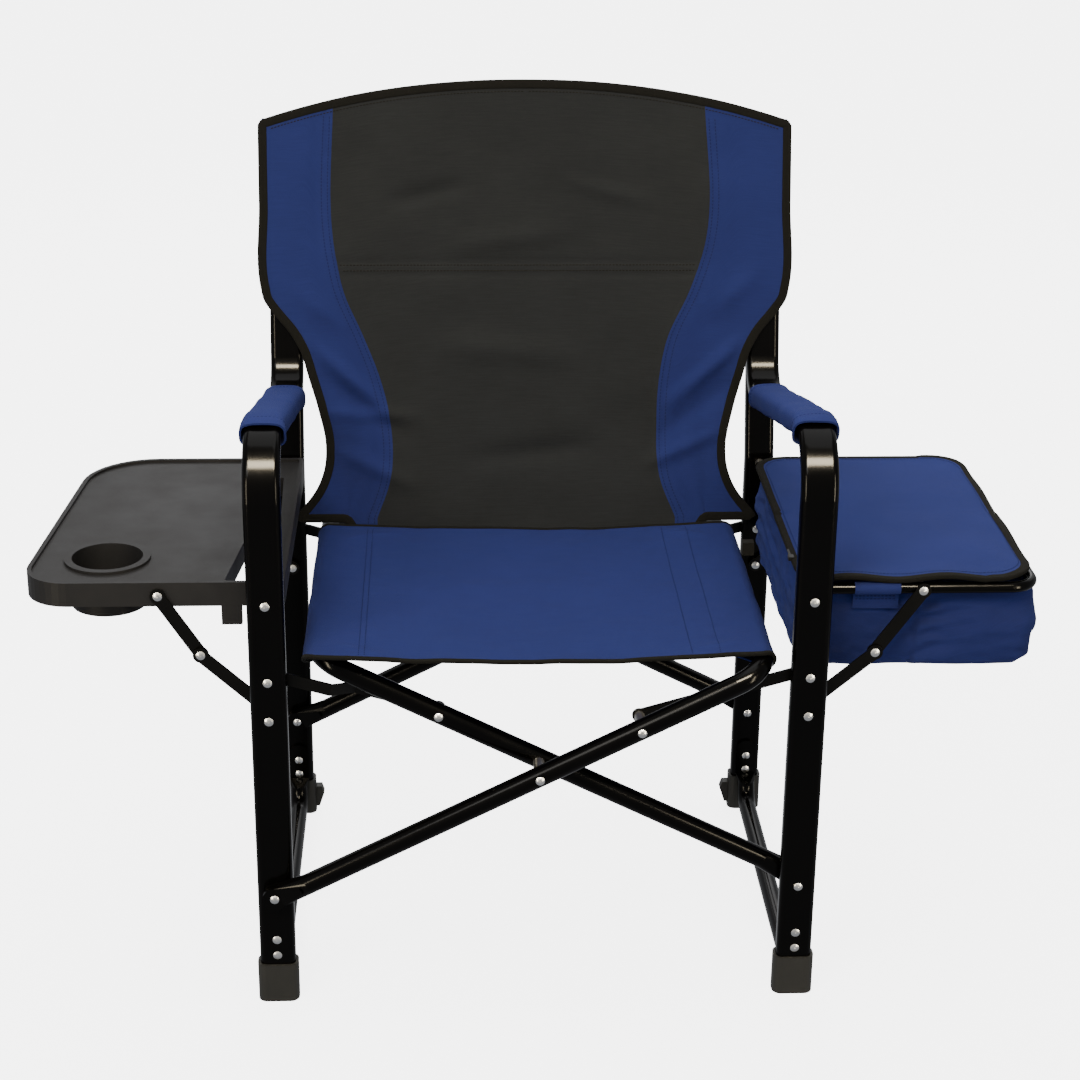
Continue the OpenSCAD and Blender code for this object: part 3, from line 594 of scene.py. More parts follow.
def stitching(name: str, lines: Sequence[tuple[Array, Array]], finish: bpy.types.Material,
              length: float = 0.0028, gap: float = 0.0011, thick: float = 0.0004) -> bpy.types.Object:
    """Makes the visible stitches of several seams as one mesh.

    Args:
        name: Name of the object.
        lines: For each seam its points and the surface normals there.
        finish: Thread material.
        length: Length of a stitch.
        gap: Gap between stitches.
        thick: Radius of the thread.

    Returns:
        The object.
    """
    verts, faces = [], []
    rings = ((-0.5, 0.3), (-0.3, 1.0), (0.3, 1.0), (0.5, 0.3))
    for points, normals in lines:
        s = np.concatenate([[0], np.cumsum(np.linalg.norm(np.diff(points, axis=0), axis=1))])
        for at in np.arange(length / 2, s[-1] - length / 2, length + gap):
            p, q = (np.array([np.interp(at + d, s, points[:, k]) for k in range(3)]) for d in (-3e-4, 3e-4))
            n = np.array([np.interp(at, s, normals[:, k]) for k in range(3)])
            t = (q - p) / np.linalg.norm(q - p)
            b = np.cross(n, t)
            centre = (p + q) / 2
            base = len(verts)
            for along, scale in rings:
                for c in range(6):
                    angle = c * math.pi / 3
                    verts.append(centre + t * along * length + (b * math.cos(angle) * 1.3
                                 + n * (math.sin(angle) * 0.8 + 0.2)) * thick * scale)
            for r in range(3):
                for c in range(6):
                    d = (c + 1) % 6
                    faces.append((base + r * 6 + c, base + r * 6 + d, base + r * 6 + 6 + d,
                                  base + r * 6 + 6 + c))
            faces += [tuple(base + 5 - c for c in range(6)), tuple(base + 18 + c for c in range(6))]
    return make_object(name, np.array(verts), faces, np.zeros((len(verts), 2)), [finish])


def curve_through(knots: Sequence[Sequence[float]]) -> Callable[[Array], Array]:
    """Smooth monotone-ish curve through knots, by Catmull-Rom slopes.

    Args:
        knots: Pairs (at, value) in rising order.

    Returns:
        A function of position.
    """
    x, y = (np.array([k[i] for k in knots], float) for i in (0, 1))
    slope = np.gradient(y, x)

    def value(at: Array) -> Array:
        at = np.clip(at, x[0], x[-1])
        i = np.clip(np.searchsorted(x, at) - 1, 0, len(x) - 2)
        h = x[i + 1] - x[i]
        t = (at - x[i]) / h
        return ((2 * t**3 - 3 * t**2 + 1) * y[i] + (t**3 - 2 * t**2 + t) * h * slope[i]
                + (-2 * t**3 + 3 * t**2) * y[i + 1] + (t**3 - t**2) * h * slope[i + 1])

    return value


# ---------------------------------------------------------------------------
# The chair's measures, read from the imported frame
# ---------------------------------------------------------------------------


@dataclass(frozen=True)
class Layout:
    """Where the frame's parts are, in metres.

    Attributes:
        leg_y: Front face of the front legs.
        post_y: Front face of the rear posts.
        side_x: Middle of the side frames.
        kink_z: Height at which the posts lean back.
        lean: Lean of the posts, in radians.
        rail_x: Middle of the seat rails.
        rail_z: Height of the seat rails.
        rod_z: Height of the bag's rod.
    """

    leg_y: float
    post_y: float
    side_x: float = 0.280
    kink_z: float = 0.470
    lean: float = math.radians(14)
    rail_x: float = 0.232
    rail_z: float = 0.393
    rod_z: float = 0.464

    @staticmethod
    def read() -> "Layout":
        """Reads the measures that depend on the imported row.

        Returns:
            The layout.
        """
        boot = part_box("front_boot_left")
        leg_y = (boot[0].y + boot[1].y) / 2 - 0.010
        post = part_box("rear_boot_left")
        post_y = (post[0].y + post[1].y) / 2 - 0.010
        return Layout(leg_y=leg_y, post_y=post_y)

    def on_back(self, x: Array, y: Array, s: Array) -> Array:
        """Points in the leaning frame of the back.

        Args:
            x: Across the chair.
            y: Behind the post's front face.
            s: Up the post from its kink.

        Returns:
            Points in the row frame.
        """
        x, y, s = np.broadcast_arrays(np.asarray(x, float), y, s)
        c, n = math.cos(self.lean), math.sin(self.lean)
        return np.stack([x, self.post_y + y * c + s * n, self.kink_z - y * n + s * c], axis=-1)


# ---------------------------------------------------------------------------
# Sub-assemblies
# ---------------------------------------------------------------------------


@dataclass
class MetalFrame:
    """Tubes, bars, rivets and boots, which show their CAD shapes.

    Attributes:
        nodes: The frame's CAD objects by name.
        finishes: The chair's materials.
    """

    nodes: dict[str, bpy.types.Object]
    finishes: Finishes

    def finish_for(self, name: str) -> Solid | Cloth:
        """Picks the finish of a CAD node.

        Args:
            name: Node name.

        Returns:
            Its finish.
        """
        f = self.finishes
        if any(word in name for word in ("rivets", "spacers", "tails")):
            return f.zinc
        if "boot" in name:
            return f.boot
        if "plugs" in name or name == "bag_zip_pull":
            return f.nylon
        if name == "bag_stay_strap":
            return f.webbing
        if "strut" in name or name.startswith("link"):
            return f.bar
        if name == "tray":
            return f.tray
        if name in ("seat_sling", "back_sling", "bag_body", "bag_lid", "bag_loops") or "pad" in name:
            return f.blue
        return f.tube

    def build(self) -> None:
        """Gives every CAD node its material, and the tray, the boots and the struts a small edge break."""
        for name, obj in self.nodes.items():
            finish = self.finish_for(name)
            obj.data.materials.clear()
            obj.data.materials.append(self.finishes.get(finish))
            if name == "tray" or "boot" in name or "strut_" in name and "rivets" not in name:
                bevel = obj.modifiers.new("edge_break", "BEVEL")
                bevel.width = 0.0011 if name == "tray" else 0.0006
                bevel.segments = 2
                bevel.limit_method = "ANGLE"
                bevel.angle_limit = math.radians(40)
                bevel.harden_normals = False


@dataclass
class BackCloth:
    """The back: a black middle between blue sides, with pockets over the posts.

    Attributes:
        layout: The chair's measures.
        finishes: The chair's materials.
        front: Distance of the front layer from the posts' front face.
        thick: Thickness of the doubled cloth.
    """

    layout: Layout
    finishes: Finishes
    front: float = -0.0228
    thick: float = 0.0018
    top: float = 0.3915
    bottom: float = -0.066

    half = staticmethod(curve_through([
        (-0.066, 0.268), (-0.055, 0.258), (-0.035, 0.243), (-0.012, 0.2335), (0.02, 0.2305),
        (0.062, 0.2385), (0.10, 0.2495), (0.134, 0.2600), (0.155, 0.272), (0.175, 0.2885),
        (0.192, 0.3005), (0.205, 0.3035), (0.30, 0.3040), (0.44, 0.3040)]))
    seam_left = staticmethod(curve_through([
        (-0.066, 0.176), (-0.024, 0.161), (0.048, 0.160), (0.10, 0.172), (0.144, 0.189), (0.20, 0.213),
        (0.237, 0.221), (0.44, 0.222)]))
    seam_right = staticmethod(curve_through([
        (-0.066, 0.176), (-0.024, 0.159), (0.048, 0.154), (0.10, 0.157), (0.144, 0.166), (0.20, 0.192),
        (0.237, 0.205), (0.44, 0.207)]))

    def hem(self, x: Array) -> Array:
        """Bottom edge of the back, which dips between the seat rails.

        Args:
            x: Across the chair.

        Returns:
            Height of the edge up the posts.
        """
        t = np.clip((0.2135 - np.abs(x)) / 0.022, 0, 1)
        return self.bottom - 0.029 * t * t * (3 - 2 * t)

    def crown(self, x: Array) -> Array:
        """Top edge of the back.

        Args:
            x: Across the chair.

        Returns:
            Height of the edge up the posts.
        """
        return self.top + 0.046 * (1 - (np.abs(x) / 0.304) ** 2.2)

    def relief(self, x: Array, s: Array) -> Array:
        """How far the cloth stands forward of its plane.

        Args:
            x: Across the chair.
            s: Up the posts.

        Returns:
            Distance towards the front.
        """
        inner = np.clip(1 - (np.abs(x) / 0.262) ** 2, 0, 1)
        belly = -0.009 * inner * np.clip(np.sin((s + 0.09) / 0.53 * math.pi), 0, 1)
        soft = 0.0022 * smooth_noise(x, s * 0.8, 0.085, 1) + 0.0011 * smooth_noise(x * 0.6, s, 0.038, 2)
        folds = sum((
            fold_line(x, s, (-0.262, 0.150), (-0.150, 0.045), 0.009, 0.0045),
            fold_line(x, s, (-0.250, 0.110), (-0.130, 0.020), 0.011, -0.0035),
            fold_line(x, s, (-0.245, 0.060), (-0.120, 0.052), 0.008, 0.0035),
            fold_line(x, s, (-0.235, 0.020), (-0.120, -0.035), 0.009, 0.0035),
            fold_line(x, s, (-0.300, 0.225), (-0.205, 0.150), 0.012, 0.0030),
            fold_line(x, s, (0.262, 0.150), (0.160, 0.060), 0.009, 0.0045),
            fold_line(x, s, (0.250, 0.100), (0.140, 0.015), 0.012, -0.0030),
            fold_line(x, s, (0.238, 0.040), (0.130, -0.010), 0.008, 0.0035),
            fold_line(x, s, (0.300, 0.240), (0.210, 0.170), 0.012, 0.0030),
            fold_line(x, s, (-0.170, 0.300), (-0.060, 0.325), 0.010, -0.0030),
            fold_line(x, s, (-0.100, 0.250), (0.060, 0.270), 0.012, 0.0025),
            fold_line(x, s, (0.040, 0.330), (0.150, 0.300), 0.009, 0.0025),
            fold_line(x, s, (-0.120, 0.140), (0.080, 0.120), 0.016, 0.0030),
            fold_line(x, s, (-0.090, 0.000), (0.100, 0.020), 0.013, -0.0028),
        ))
        pinch = sum(-0.0012 * np.exp(-(((s - at) / 0.0032) ** 2)) for at in (0.2195, 0.2340))
        middle = (x > -self.seam_left(s)) & (x < self.seam_right(s))
        welt = sum(0.0009 * np.exp(-(((x - w * seam(s)) / 0.004) ** 2))
                   for w, seam in ((-1, self.seam_left), (1, self.seam_right)))
        hold = np.clip((0.285 - np.abs(x)) / 0.05, 0.12, 1)
        return belly + (soft + 1.35 * folds) * hold + np.where(middle, pinch, 0) + welt

    def surface(self, x: Array, s: Array, lift: float = 0.0) -> Array:
        """Points on the front layer.

        Args:
            x: Across the chair.
            s: Up the posts.
            lift: Extra distance towards the front.

        Returns:
            Points in the row frame.
        """
        return self.layout.on_back(x, self.front - self.relief(x, s) - lift, s)

    def half_sheet(self, side: Side) -> bpy.types.Object:
        """Builds the front layer on one side of the middle.

        Args:
            side: Which side.

        Returns:
            The sheet.
        """
        seam = self.seam_left if side is Side.LEFT else self.seam_right
        rows = 130
        v = np.linspace(0, 1, rows)[:, None]
        inner, outer = 56, 34
        share = np.concatenate([np.linspace(0, 1, inner), 1 + np.linspace(0, 1, outer)[1:]])[None, :]
        level = self.bottom + (self.top + 0.02 - self.bottom) * v
        blue = self.half(level) - seam(level)
        x = np.where(share <= 1, share * seam(level), seam(level) + (share - 1) * blue)
        low = self.hem(np.where(share <= 1, share * seam(level * 0 + self.bottom), x))
        s = low + (self.crown(x) - low) * v
        x = np.where(share <= 1, share * seam(s), seam(s) + (share - 1) * (self.half(s) - seam(s)))
        x = x * side.value
        middle = self.surface(x, s)
        if side is Side.LEFT:
            middle = middle[:, ::-1]
            mats = [1] * (outer - 1) + [0] * (inner - 1)
        else:
            mats = [0] * (inner - 1) + [1] * (outer - 1)
        f = self.finishes
        return shell(f"back_front_{side.word}", middle, self.thick, [f.get(f.black), f.get(f.blue)],
                     column_material=mats)

    def pocket(self, side: Side) -> bpy.types.Object:
        """Builds the pocket that wraps a post from behind.

        Args:
            side: Which side.

        Returns:
            The pocket.
        """
        corners = [(0.3028, -0.0212), (0.3040, -0.012), (0.3042, 0.010), (0.3020, 0.0215), (0.2965, 0.0243),
                   (0.280, 0.0250), (0.2635, 0.0243), (0.2580, 0.0205), (0.2562, 0.008), (0.2555, -0.012),
                   (0.2545, -0.0208)]
        ring = resample([(a, b, 0) for a, b in corners], 0.003)
        s = np.linspace(0.192, 0.4015, 60)[:, None]
        x = ring[None, :, 0] + 0 * s
        puff = 0.0009 * smooth_noise(ring[None, :, 0] * 3, s, 0.03, 5)
        y = ring[None, :, 1] + puff * (ring[None, :, 1] > 0)
        x = x + 0.0008 * smooth_noise(ring[None, :, 1] * 4, s, 0.04, 6)
        close = np.clip((s - 0.3865) / 0.015, 0, 1) ** 2
        y = y * (1 - close) + (self.front + 0.004) * close
        grid = self.layout.on_back(x * side.value, y, s - 0.004 * close)
        if side is Side.LEFT:
            grid = grid[:, ::-1]
        return shell(f"back_pocket_{side.word}", grid, 0.0014, [self.finishes.get(self.finishes.blue)])

    def edge(self, side: Side) -> Array:
        """Outline of one half of the back, from the bottom middle round to the top middle.

        Args:
            side: Which side.

        Returns:
            Pairs (x, s).
        """
        across = np.linspace(0, self.half(np.array(self.bottom)), 60)
        up = np.linspace(self.bottom, self.top + 0.0006, 160)
        over = np.linspace(0.3035, 0, 90)
        x = np.concatenate([across[:-1], self.half(up), over])
        s = np.concatenate([self.hem(across[:-1]), up, self.crown(over)])
        return np.stack([x * side.value, s], axis=1)

    def build(self) -> list[bpy.types.Object]:
        """Builds the whole back and hangs it on the sides.

        Returns:
            Its objects.
        """
        f, made = self.finishes, []
        lean = self.layout.lean
        normal = np.array([0.0, -math.cos(lean), math.sin(lean)])
        for side in Side:
            body = f"{side.word}_side"
            sheet = self.half_sheet(side)
            outline = self.edge(side)
            path = resample(self.surface(outline[:, 0], outline[:, 1]), 0.004)
            tape = sweep(f"back_binding_{side.word}", path, np.tile(normal, (len(path), 1)),
                         tape_profile(0.0105, 0.0038), f.get(f.tape))
            sewn, dark = [], []
            sign = side.value
            seam = self.seam_left if side is Side.LEFT else self.seam_right
            s = np.linspace(self.bottom - 0.022, self.top + 0.010, 250)
            for off in (0.0035, 0.0105):
                x = sign * (seam(s) + off)
                sewn.append((self.surface(x, s, 0.0011), np.tile(normal, (len(s), 1))))
            for level in (0.2155, 0.2235, 0.2300, 0.2380)[1:3]:
                x = sign * np.linspace(0.0, seam(np.array(level)) - 0.002, 120)
                dark.append((self.surface(x, np.full_like(x, level), 0.0010), np.tile(normal, (120, 1))))
            x = sign * np.linspace(0.003, 0.296, 160)
            dark.append((self.surface(x, self.crown(np.abs(x)) - 0.0085, 0.0012), np.tile(normal, (160, 1))))
            threads = stitching(f"back_seams_{side.word}", sewn, f.get(f.blue_thread))
            dark_threads = stitching(f"back_middle_seams_{side.word}", dark, f.get(f.black_thread))
            pocket = self.pocket(side)
            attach(pocket, body)
            for piece in (sheet, tape, threads, dark_threads):
                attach(piece, body)
                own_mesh(piece)
            self.flat_area()
            made += [sheet, tape, threads, dark_threads, pocket]
        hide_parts("back_sling")
        return made

    def flat_area(self) -> float:
        """Area of one half of the front layer.

        Returns:
            Square metres.
        """
        s = np.linspace(self.bottom, self.top, 400)
        x = np.linspace(0, 0.304, 400)
        below = float(np.mean(self.half(s))) * (self.top - self.bottom)
        hem = float(np.mean(self.bottom - self.hem(x))) * 0.304
        return below + hem + float(np.mean(self.crown(x) - self.top)) * 0.304


@dataclass
class SeatCloth:
    """The seat: one width of blue cloth whose ends wrap the two rails.

    Attributes:
        layout: The chair's measures.
        finishes: The chair's materials.
        radius: Radius of the cloth's middle round a rail.
        thick: Thickness of the doubled cloth.
    """

    layout: Layout
    finishes: Finishes
    radius: float = 0.0126
    thick: float = 0.0018
    front: float = 0.006
    rear: float = 0.3790

    def profile(self) -> tuple[Array, Array]:
        """Section of the cloth from under the left rail to under the right one.

        Returns:
            The points (x, z) and how far each is free to move.
        """
        rx, rz, r = self.layout.rail_x, self.layout.rail_z, self.radius
        pts, free = [], []
        for t in np.linspace(0, 1, 14):
            pts.append((-rx + 0.040 - 0.040 * t, rz + r * 0.30 - (r * 1.30) * t**1.3))
            free.append(0.0)
        for a in np.linspace(0, 1, 22)[1:]:
            angle = math.radians(-90 - 180 * a)
            pts.append((-rx + r * math.cos(angle), rz + r * math.sin(angle)))
            free.append(0.0)
        x = np.linspace(-rx, rx, 120)[1:]
        for xi in x:
            pts.append((xi, rz + r))
            free.append(float(np.clip(1 - (abs(xi) / rx) ** 2, 0, 1)))
        for a in np.linspace(0, 1, 22)[1:]:
            angle = math.radians(90 - 180 * a)
            pts.append((rx + r * math.cos(angle), rz + r * math.sin(angle)))
            free.append(0.0)
        for t in np.linspace(0, 1, 14)[1:]:
            pts.append((rx - 0.040 * t, rz - r + (r * 1.30) * t ** (1 / 1.3)))
            free.append(0.0)
        return np.array(pts), np.array(free)

    def cut_back(self) -> Array:
        """How far behind the front edge each column of the cloth starts: less on top, more round a rail.

        Returns:
            Distances behind the front edge.
        """
        arc = np.linspace(0, 1, 22)[1:]
        left = np.interp(arc, [0, 0.5, 0.85, 1], [0.058, 0.024, 0.004, 0])
        right = np.interp(arc, [0, 0.15, 0.5, 1], [0, 0.004, 0.012, 0.022])
        return np.concatenate([np.full(14, 0.058), left, np.zeros(119), right, np.full(13, 0.022)])

    def lift(self, x: Array, y: Array, free: Array) -> Array:
        """How far the seat stands above its flat line.

        Args:
            x: Across the chair.
            y: Distance behind the legs' front face.
            free: How far the cloth is free to move there.

        Returns:
            Height, negative where it sags.
        """
        middle = np.clip(np.sin((y + 0.02) / 0.42 * math.pi), 0, 1)
        sag = -0.0105 * free * (0.62 + 0.38 * middle)
        soft = 0.0014 * smooth_noise(x * 0.7, y, 0.075, 11) + 0.0007 * smooth_noise(x, y * 1.3, 0.03, 12)
        folds = sum((
            fold_line(x, y, (-0.225, 0.330), (-0.130, 0.372), 0.010, 0.0025),
            fold_line(x, y, (0.225, 0.330), (0.140, 0.374), 0.010, 0.0025),
            fold_line(x, y, (-0.228, 0.040), (-0.150, 0.012), 0.009, 0.0020),
            fold_line(x, y, (0.228, 0.045), (0.150, 0.014), 0.009, 0.0022),
            fold_line(x, y, (-0.150, 0.200), (0.120, 0.215), 0.022, 0.0018),
        ))
        return sag + (soft + folds) * np.minimum(1, free * 4)

    def build(self) -> list[bpy.types.Object]:
        """Builds the seat and lays it between the crossed frames.

        Returns:
            Its objects.
        """
        f = self.finishes
        prof, free = self.profile()
        y = np.linspace(self.front, self.rear, 110)[:, None]
        x = prof[None, :, 0] + 0 * y
        start = self.front + self.cut_back()[None, :]
        depth = start + (self.rear - start) * (y - self.front) / (self.rear - self.front)
        z = prof[None, :, 1] + self.lift(x, depth, free[None, :])
        bulge = 0.0006 * smooth_noise(depth, x * 3, 0.03, 13)
        grid = np.stack([x + bulge * (np.abs(x) > 0.235) * np.sign(x), self.layout.leg_y + depth, z], axis=2)
        sheet = shell("seat_cloth", grid, self.thick, [f.get(f.blue)])
        pieces = []
        up = np.array([0.0, 0.0, 1.0])
        for name, row, width in (("front", 0, 0.0055), ("rear", -1, 0.0055)):
            line = grid[row, 14:-14]
            path = resample(line, 0.004)
            path = path + np.array([0, -0.0004 if row == 0 else 0.0004, 0])
            normals = np.tile(up, (len(path), 1))
            out = np.clip((np.abs(path[:, 0]) - self.layout.rail_x) / self.radius, 0, 1)
            out = out * np.sign(path[:, 0])
            normals[:, 0] = out
            normals[:, 2] = np.sqrt(np.maximum(1 - out**2, 0.02)) * np.where(path[:, 2] < self.layout.rail_z,
                                                                             -1, 1)
            pieces.append(sweep(f"seat_binding_{name}", path, normals, tape_profile(width, 0.0040),
                                f.get(f.tape)))
        sewn = []
        for at in (-0.187, -0.181, 0.158, 0.187):
            ys = np.linspace(self.front + 0.006, self.rear - 0.006, 200)
            share = float(np.clip(1 - (abs(at) / self.layout.rail_x) ** 2, 0, 1))
            zs = self.layout.rail_z + self.radius + self.lift(np.full_like(ys, at), ys, share) + 0.0011
            sewn.append((np.stack([np.full_like(ys, at), self.layout.leg_y + ys, zs], axis=1),
                         np.tile(up, (200, 1))))
        pieces.append(stitching("seat_seams", sewn, f.get(f.blue_thread)))
        for piece in [sheet] + pieces:
            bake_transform(piece)
        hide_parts("seat_sling")
        return [sheet] + pieces


@dataclass
class ArmPad:
    """Padded cloth sleeve that follows the armrest and the top of its front bend.

    Attributes:
        side: Which arm.
        layout: The chair's measures.
        finishes: The chair's materials.
    """

    side: Side
    layout: Layout
    finishes: Finishes
    slope: float = math.radians(13)
    bend: float = 0.058
    bend_z: float = 0.574
    wrap: float = math.radians(30)
    straight: float = 0.306

    def centre_line(self, count: int) -> tuple[Array, Array]:
        """Middle of the sleeve and the direction out of its top.

        Args:
            count: Number of points.

        Returns:
            Points (y, z) and unit vectors (y, z).
        """
        total = self.bend * self.wrap + self.straight
        points, tops = [], []
        for s in np.linspace(0, total, count):
            turned = min(s / self.bend, self.wrap)
            angle = math.radians(90) + self.slope - self.wrap + turned
            rest = max(0.0, s - self.bend * self.wrap)
            y = self.layout.leg_y + 0.010 + self.bend - self.bend * math.cos(angle) + rest * math.sin(angle)
            z = self.bend_z + self.bend * math.sin(angle) + rest * math.cos(angle)
            points.append((y, z))
            tops.append((-math.cos(angle), math.sin(angle)))
        return np.array(points), np.array(tops)

    def build(self) -> list[bpy.types.Object]:
        """Builds the sleeve with its hems.

        Returns:
            Its objects.
        """
        f = self.finishes
        rows, ring = 84, 64
        centre, top = self.centre_line(rows)
        t = np.linspace(0, 2 * math.pi, ring, endpoint=False)
        power = 0.62
        cx = np.sign(np.cos(t)) * np.abs(np.cos(t)) ** power
        cy = np.sign(np.sin(t)) * np.abs(np.sin(t)) ** power
        v = np.linspace(0, 1, rows)[:, None]
        flare = 0.0016 * np.exp(-((v / 0.035) ** 2)) + 0.0012 * np.exp(-(((1 - v) / 0.035) ** 2))
        seed = 21 if self.side is Side.LEFT else 22
        puff = 0.0007 * smooth_noise(v * 0.33, cx[None, :] * 0.02, 0.03, seed)
        wide = 0.0216 + flare + puff
        tall = 0.0128 + flare + puff + 0.0006 * (cy[None, :] > 0)
        x = self.side.value * self.layout.side_x + wide * cx[None, :]
        off = tall * cy[None, :]
        grid = np.stack([x + 0 * v, centre[:, None, 0] + off * top[:, None, 0],
                         centre[:, None, 1] + off * top[:, None, 1]], axis=2)
        sleeve = shell(f"arm_pad_sleeve_{self.side.word}", grid, 0.0022, [f.get(f.blue)], wrap=True)
        hems = []
        for end in (3, rows - 4):
            loop = grid[end]
            closed = np.vstack([loop, loop[:1]])
            out = loop - loop.mean(axis=0)
            out /= np.linalg.norm(out, axis=1, keepdims=True)
            hems.append((closed + np.vstack([out, out[:1]]) * 0.0012, np.vstack([out, out[:1]])))
        seams = stitching(f"arm_pad_hems_{self.side.word}", hems, f.get(f.blue_thread))
        body = f"{self.side.word}_side"
        for piece in (sleeve, seams):
            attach(piece, body)
        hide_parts(f"arm_pad_{self.side.word}")
        return [sleeve, seams]


@dataclass
class CoolerBag:
    """The cloth bag on its rod, with a padded lid.

    Attributes:
        layout: The chair's measures.
        finishes: The chair's materials.
    """

    layout: Layout
    finishes: Finishes
    low: float = 0.3670
    high: float = 0.4565

    def rounded_ring(self, box: tuple[float, float, float, float], radius: float, count: int) -> Array:
        """A rounded rectangle, anticlockwise from the middle of its front.

        Args:
            box: Lowest x and y, highest x and y.
            radius: Corner radius.
            count: Number of points.

        Returns:
            Points (x, y, 0), evenly spaced.
        """
        x0, y0, x1, y1 = box
        pts = [((x0 + x1) / 2, y0, 0.0)]
        for cx, cy, a0 in ((x1 - radius, y0 + radius, -90), (x1 - radius, y1 - radius, 0),
                           (x0 + radius, y1 - radius, 90), (x0 + radius, y0 + radius, 180)):
            for k in range(9):
                a = math.radians(a0 + 90 * k / 8)
                pts.append((cx + radius * math.cos(a), cy + radius * math.sin(a), 0.0))
        p = np.vstack([pts, pts[:1]])
        s = np.concatenate([[0], np.cumsum(np.linalg.norm(np.diff(p, axis=0), axis=1))])
        t = np.linspace(0, s[-1], count + 1)[:-1]
        return np.stack([np.interp(t, s, p[:, k]) for k in range(3)], axis=1)

    def bag(self) -> bpy.types.Object:
        """Builds the bag's body as one soft closed skin.

        Returns:
            The body.
        """
        leg = self.layout.leg_y
        count, rows = 220, 46
        box = (0.2730, leg + 0.0500, 0.5240, leg + 0.3950)
        ring = self.rounded_ring(box, 0.019, count)
        centre = np.array([(box[0] + box[2]) / 2, (box[1] + box[3]) / 2, 0])
        out = ring - centre
        grown = np.roll(ring, -1, axis=0) - np.roll(ring, 1, axis=0)
        normal = np.stack([grown[:, 1], -grown[:, 0], 0 * grown[:, 0]], axis=1)
        normal /= np.linalg.norm(normal, axis=1, keepdims=True)
        run = np.arange(count) / count
        grid = []
        for i in range(rows):
            t = i / (rows - 1)
            z = self.high - (self.high - self.low) * t
            bulge = 0.0040 * math.sin(math.pi * min(1.0, t * 1.05)) - 0.002
            tuck = 0.010 * max(0.0, (t - 0.86) / 0.14) ** 2
            wave = (0.0024 * smooth_noise(run * 1.3, z * 2.2, 0.045, 31)
                    + 0.0016 * smooth_noise(run * 2.4, z * 5, 0.04, 32))
            crease = 0.0026 * np.sin(z * 330 + 6 * smooth_noise(run, z, 0.1, 33)) * np.clip(
                smooth_noise(run, z, 0.12, 34) + 0.45, 0, 1) * min(1.0, 4 * t)
            p = ring + normal * (bulge - tuck + wave + crease)[:, None]
            sag = 0.004 * np.sin(run * 2 * math.pi * 2) * t
            p[:, 2] = z + 0.002 * smooth_noise(run * 1.5, 0 * run + t, 0.06, 35) * t - abs(sag) * 0.3
            grid.append(p)
        for shrink in (0.80, 0.5, 0.0001):
            p = grid[rows - 1].copy()
            p[:, :2] = centre[:2] + (p[:, :2] - centre[:2]) * shrink
            p[:, 2] = self.low - 0.0035
            grid.append(p)
        top = grid[0].copy()
        top[:, :2] = centre[:2] + (top[:, :2] - centre[:2]) * 0.0001
        mid = grid[0].copy()
        mid[:, :2] = centre[:2] + out[:, :2] * 0.93
        grid = np.array([top, mid] + grid)
        total = len(grid)
        verts = grid.reshape(-1, 3)
        faces = [(i * count + (j + 1) % count, i * count + j, (i + 1) * count + j,
                  (i + 1) * count + (j + 1) % count) for i in range(total - 1) for j in range(count)]
        u = np.broadcast_to(np.arange(count) / count * 1.06, (total, count))
        v = arc_lengths(grid, 0)
        f = self.finishes
        uv = np.stack([u, v], axis=2).reshape(-1, 2)
        return make_object("bag_skin", verts, faces, uv, [f.get(f.blue)])

    def lid_height(self, x: Array, y: Array) -> Array:
        """How far the lid stands above its flat.

        Args:
            x: Across the chair.
            y: Along the chair, in the row frame.

        Returns:
            Height.
        """
        leg = self.layout.leg_y
        mx, my = (x - 0.393) / 0.121, (y - leg - 0.2225) / 0.183
        rim = np.maximum(np.abs(mx), np.abs(my))
        dome = 0.0042 * np.clip(1 - rim**2, 0, 1)
        soft = 0.0012 * smooth_noise(x, y, 0.055, 41)
        edge = np.clip((rim - 0.8) / 0.2, 0, 1)
        wave = 0.0022 * np.sin(x * 62 + 0.5) * edge * (my < 0) + 0.0014 * np.sin(y * 50) * edge * (mx > 0.6)
        return dome + soft * (1 - edge) + wave

    def lid(self) -> list[bpy.types.Object]:
        """Builds the padded lid with its binding.

        Returns:
            The lid, its binding and its stitches.
        """
        leg, f = self.layout.leg_y, self.finishes
        box = (0.2735, leg + 0.0385, 0.5125, leg + 0.4065)
        count = 240
        ring = self.rounded_ring(box, 0.034, count)
        centre = np.array([(box[0] + box[2]) / 2, (box[1] + box[3]) / 2, 0])
        rows = [centre + (ring - centre) * k for k in np.concatenate([
            np.linspace(0.0001, 0.94, 26), [0.965, 0.985, 0.996, 1.0]])]
        top, under = [], []
        for k, ring_k in zip(np.linspace(0, 1, len(rows)), rows):
            p = ring_k.copy()
            lift = self.lid_height(p[:, 0], p[:, 1])
            rim = max(0.0, (k - 0.87) / 0.13) ** 2
            p[:, 2] = 0.4775 + lift - 0.0012 * rim
            top.append(p)
            q = p.copy()
            q[:, 2] -= 0.0048 - 0.0022 * rim
            under.append(q)
        grid = np.array(top + under[::-1])
        total = len(grid)
        faces = [(i * count + j, (i + 1) * count + j, (i + 1) * count + (j + 1) % count,
                  i * count + (j + 1) % count) for i in range(total - 1) for j in range(count)]
        verts = grid.reshape(-1, 3)
        cover = make_object("bag_lid_cover", verts, faces, verts[:, :2], [f.get(f.blue)])
        edge = grid[len(rows) - 1]
        path = resample(edge - np.array([0, 0, 0.0012]), 0.004, closed=True)
        up = np.tile(np.array([0.0, 0.0, 1.0]), (len(path), 1))
        tape = sweep("bag_lid_binding", path, up, tape_profile(0.0100, 0.0052), f.get(f.tape), closed=True)
        inner = centre + (ring - centre) * 0.955
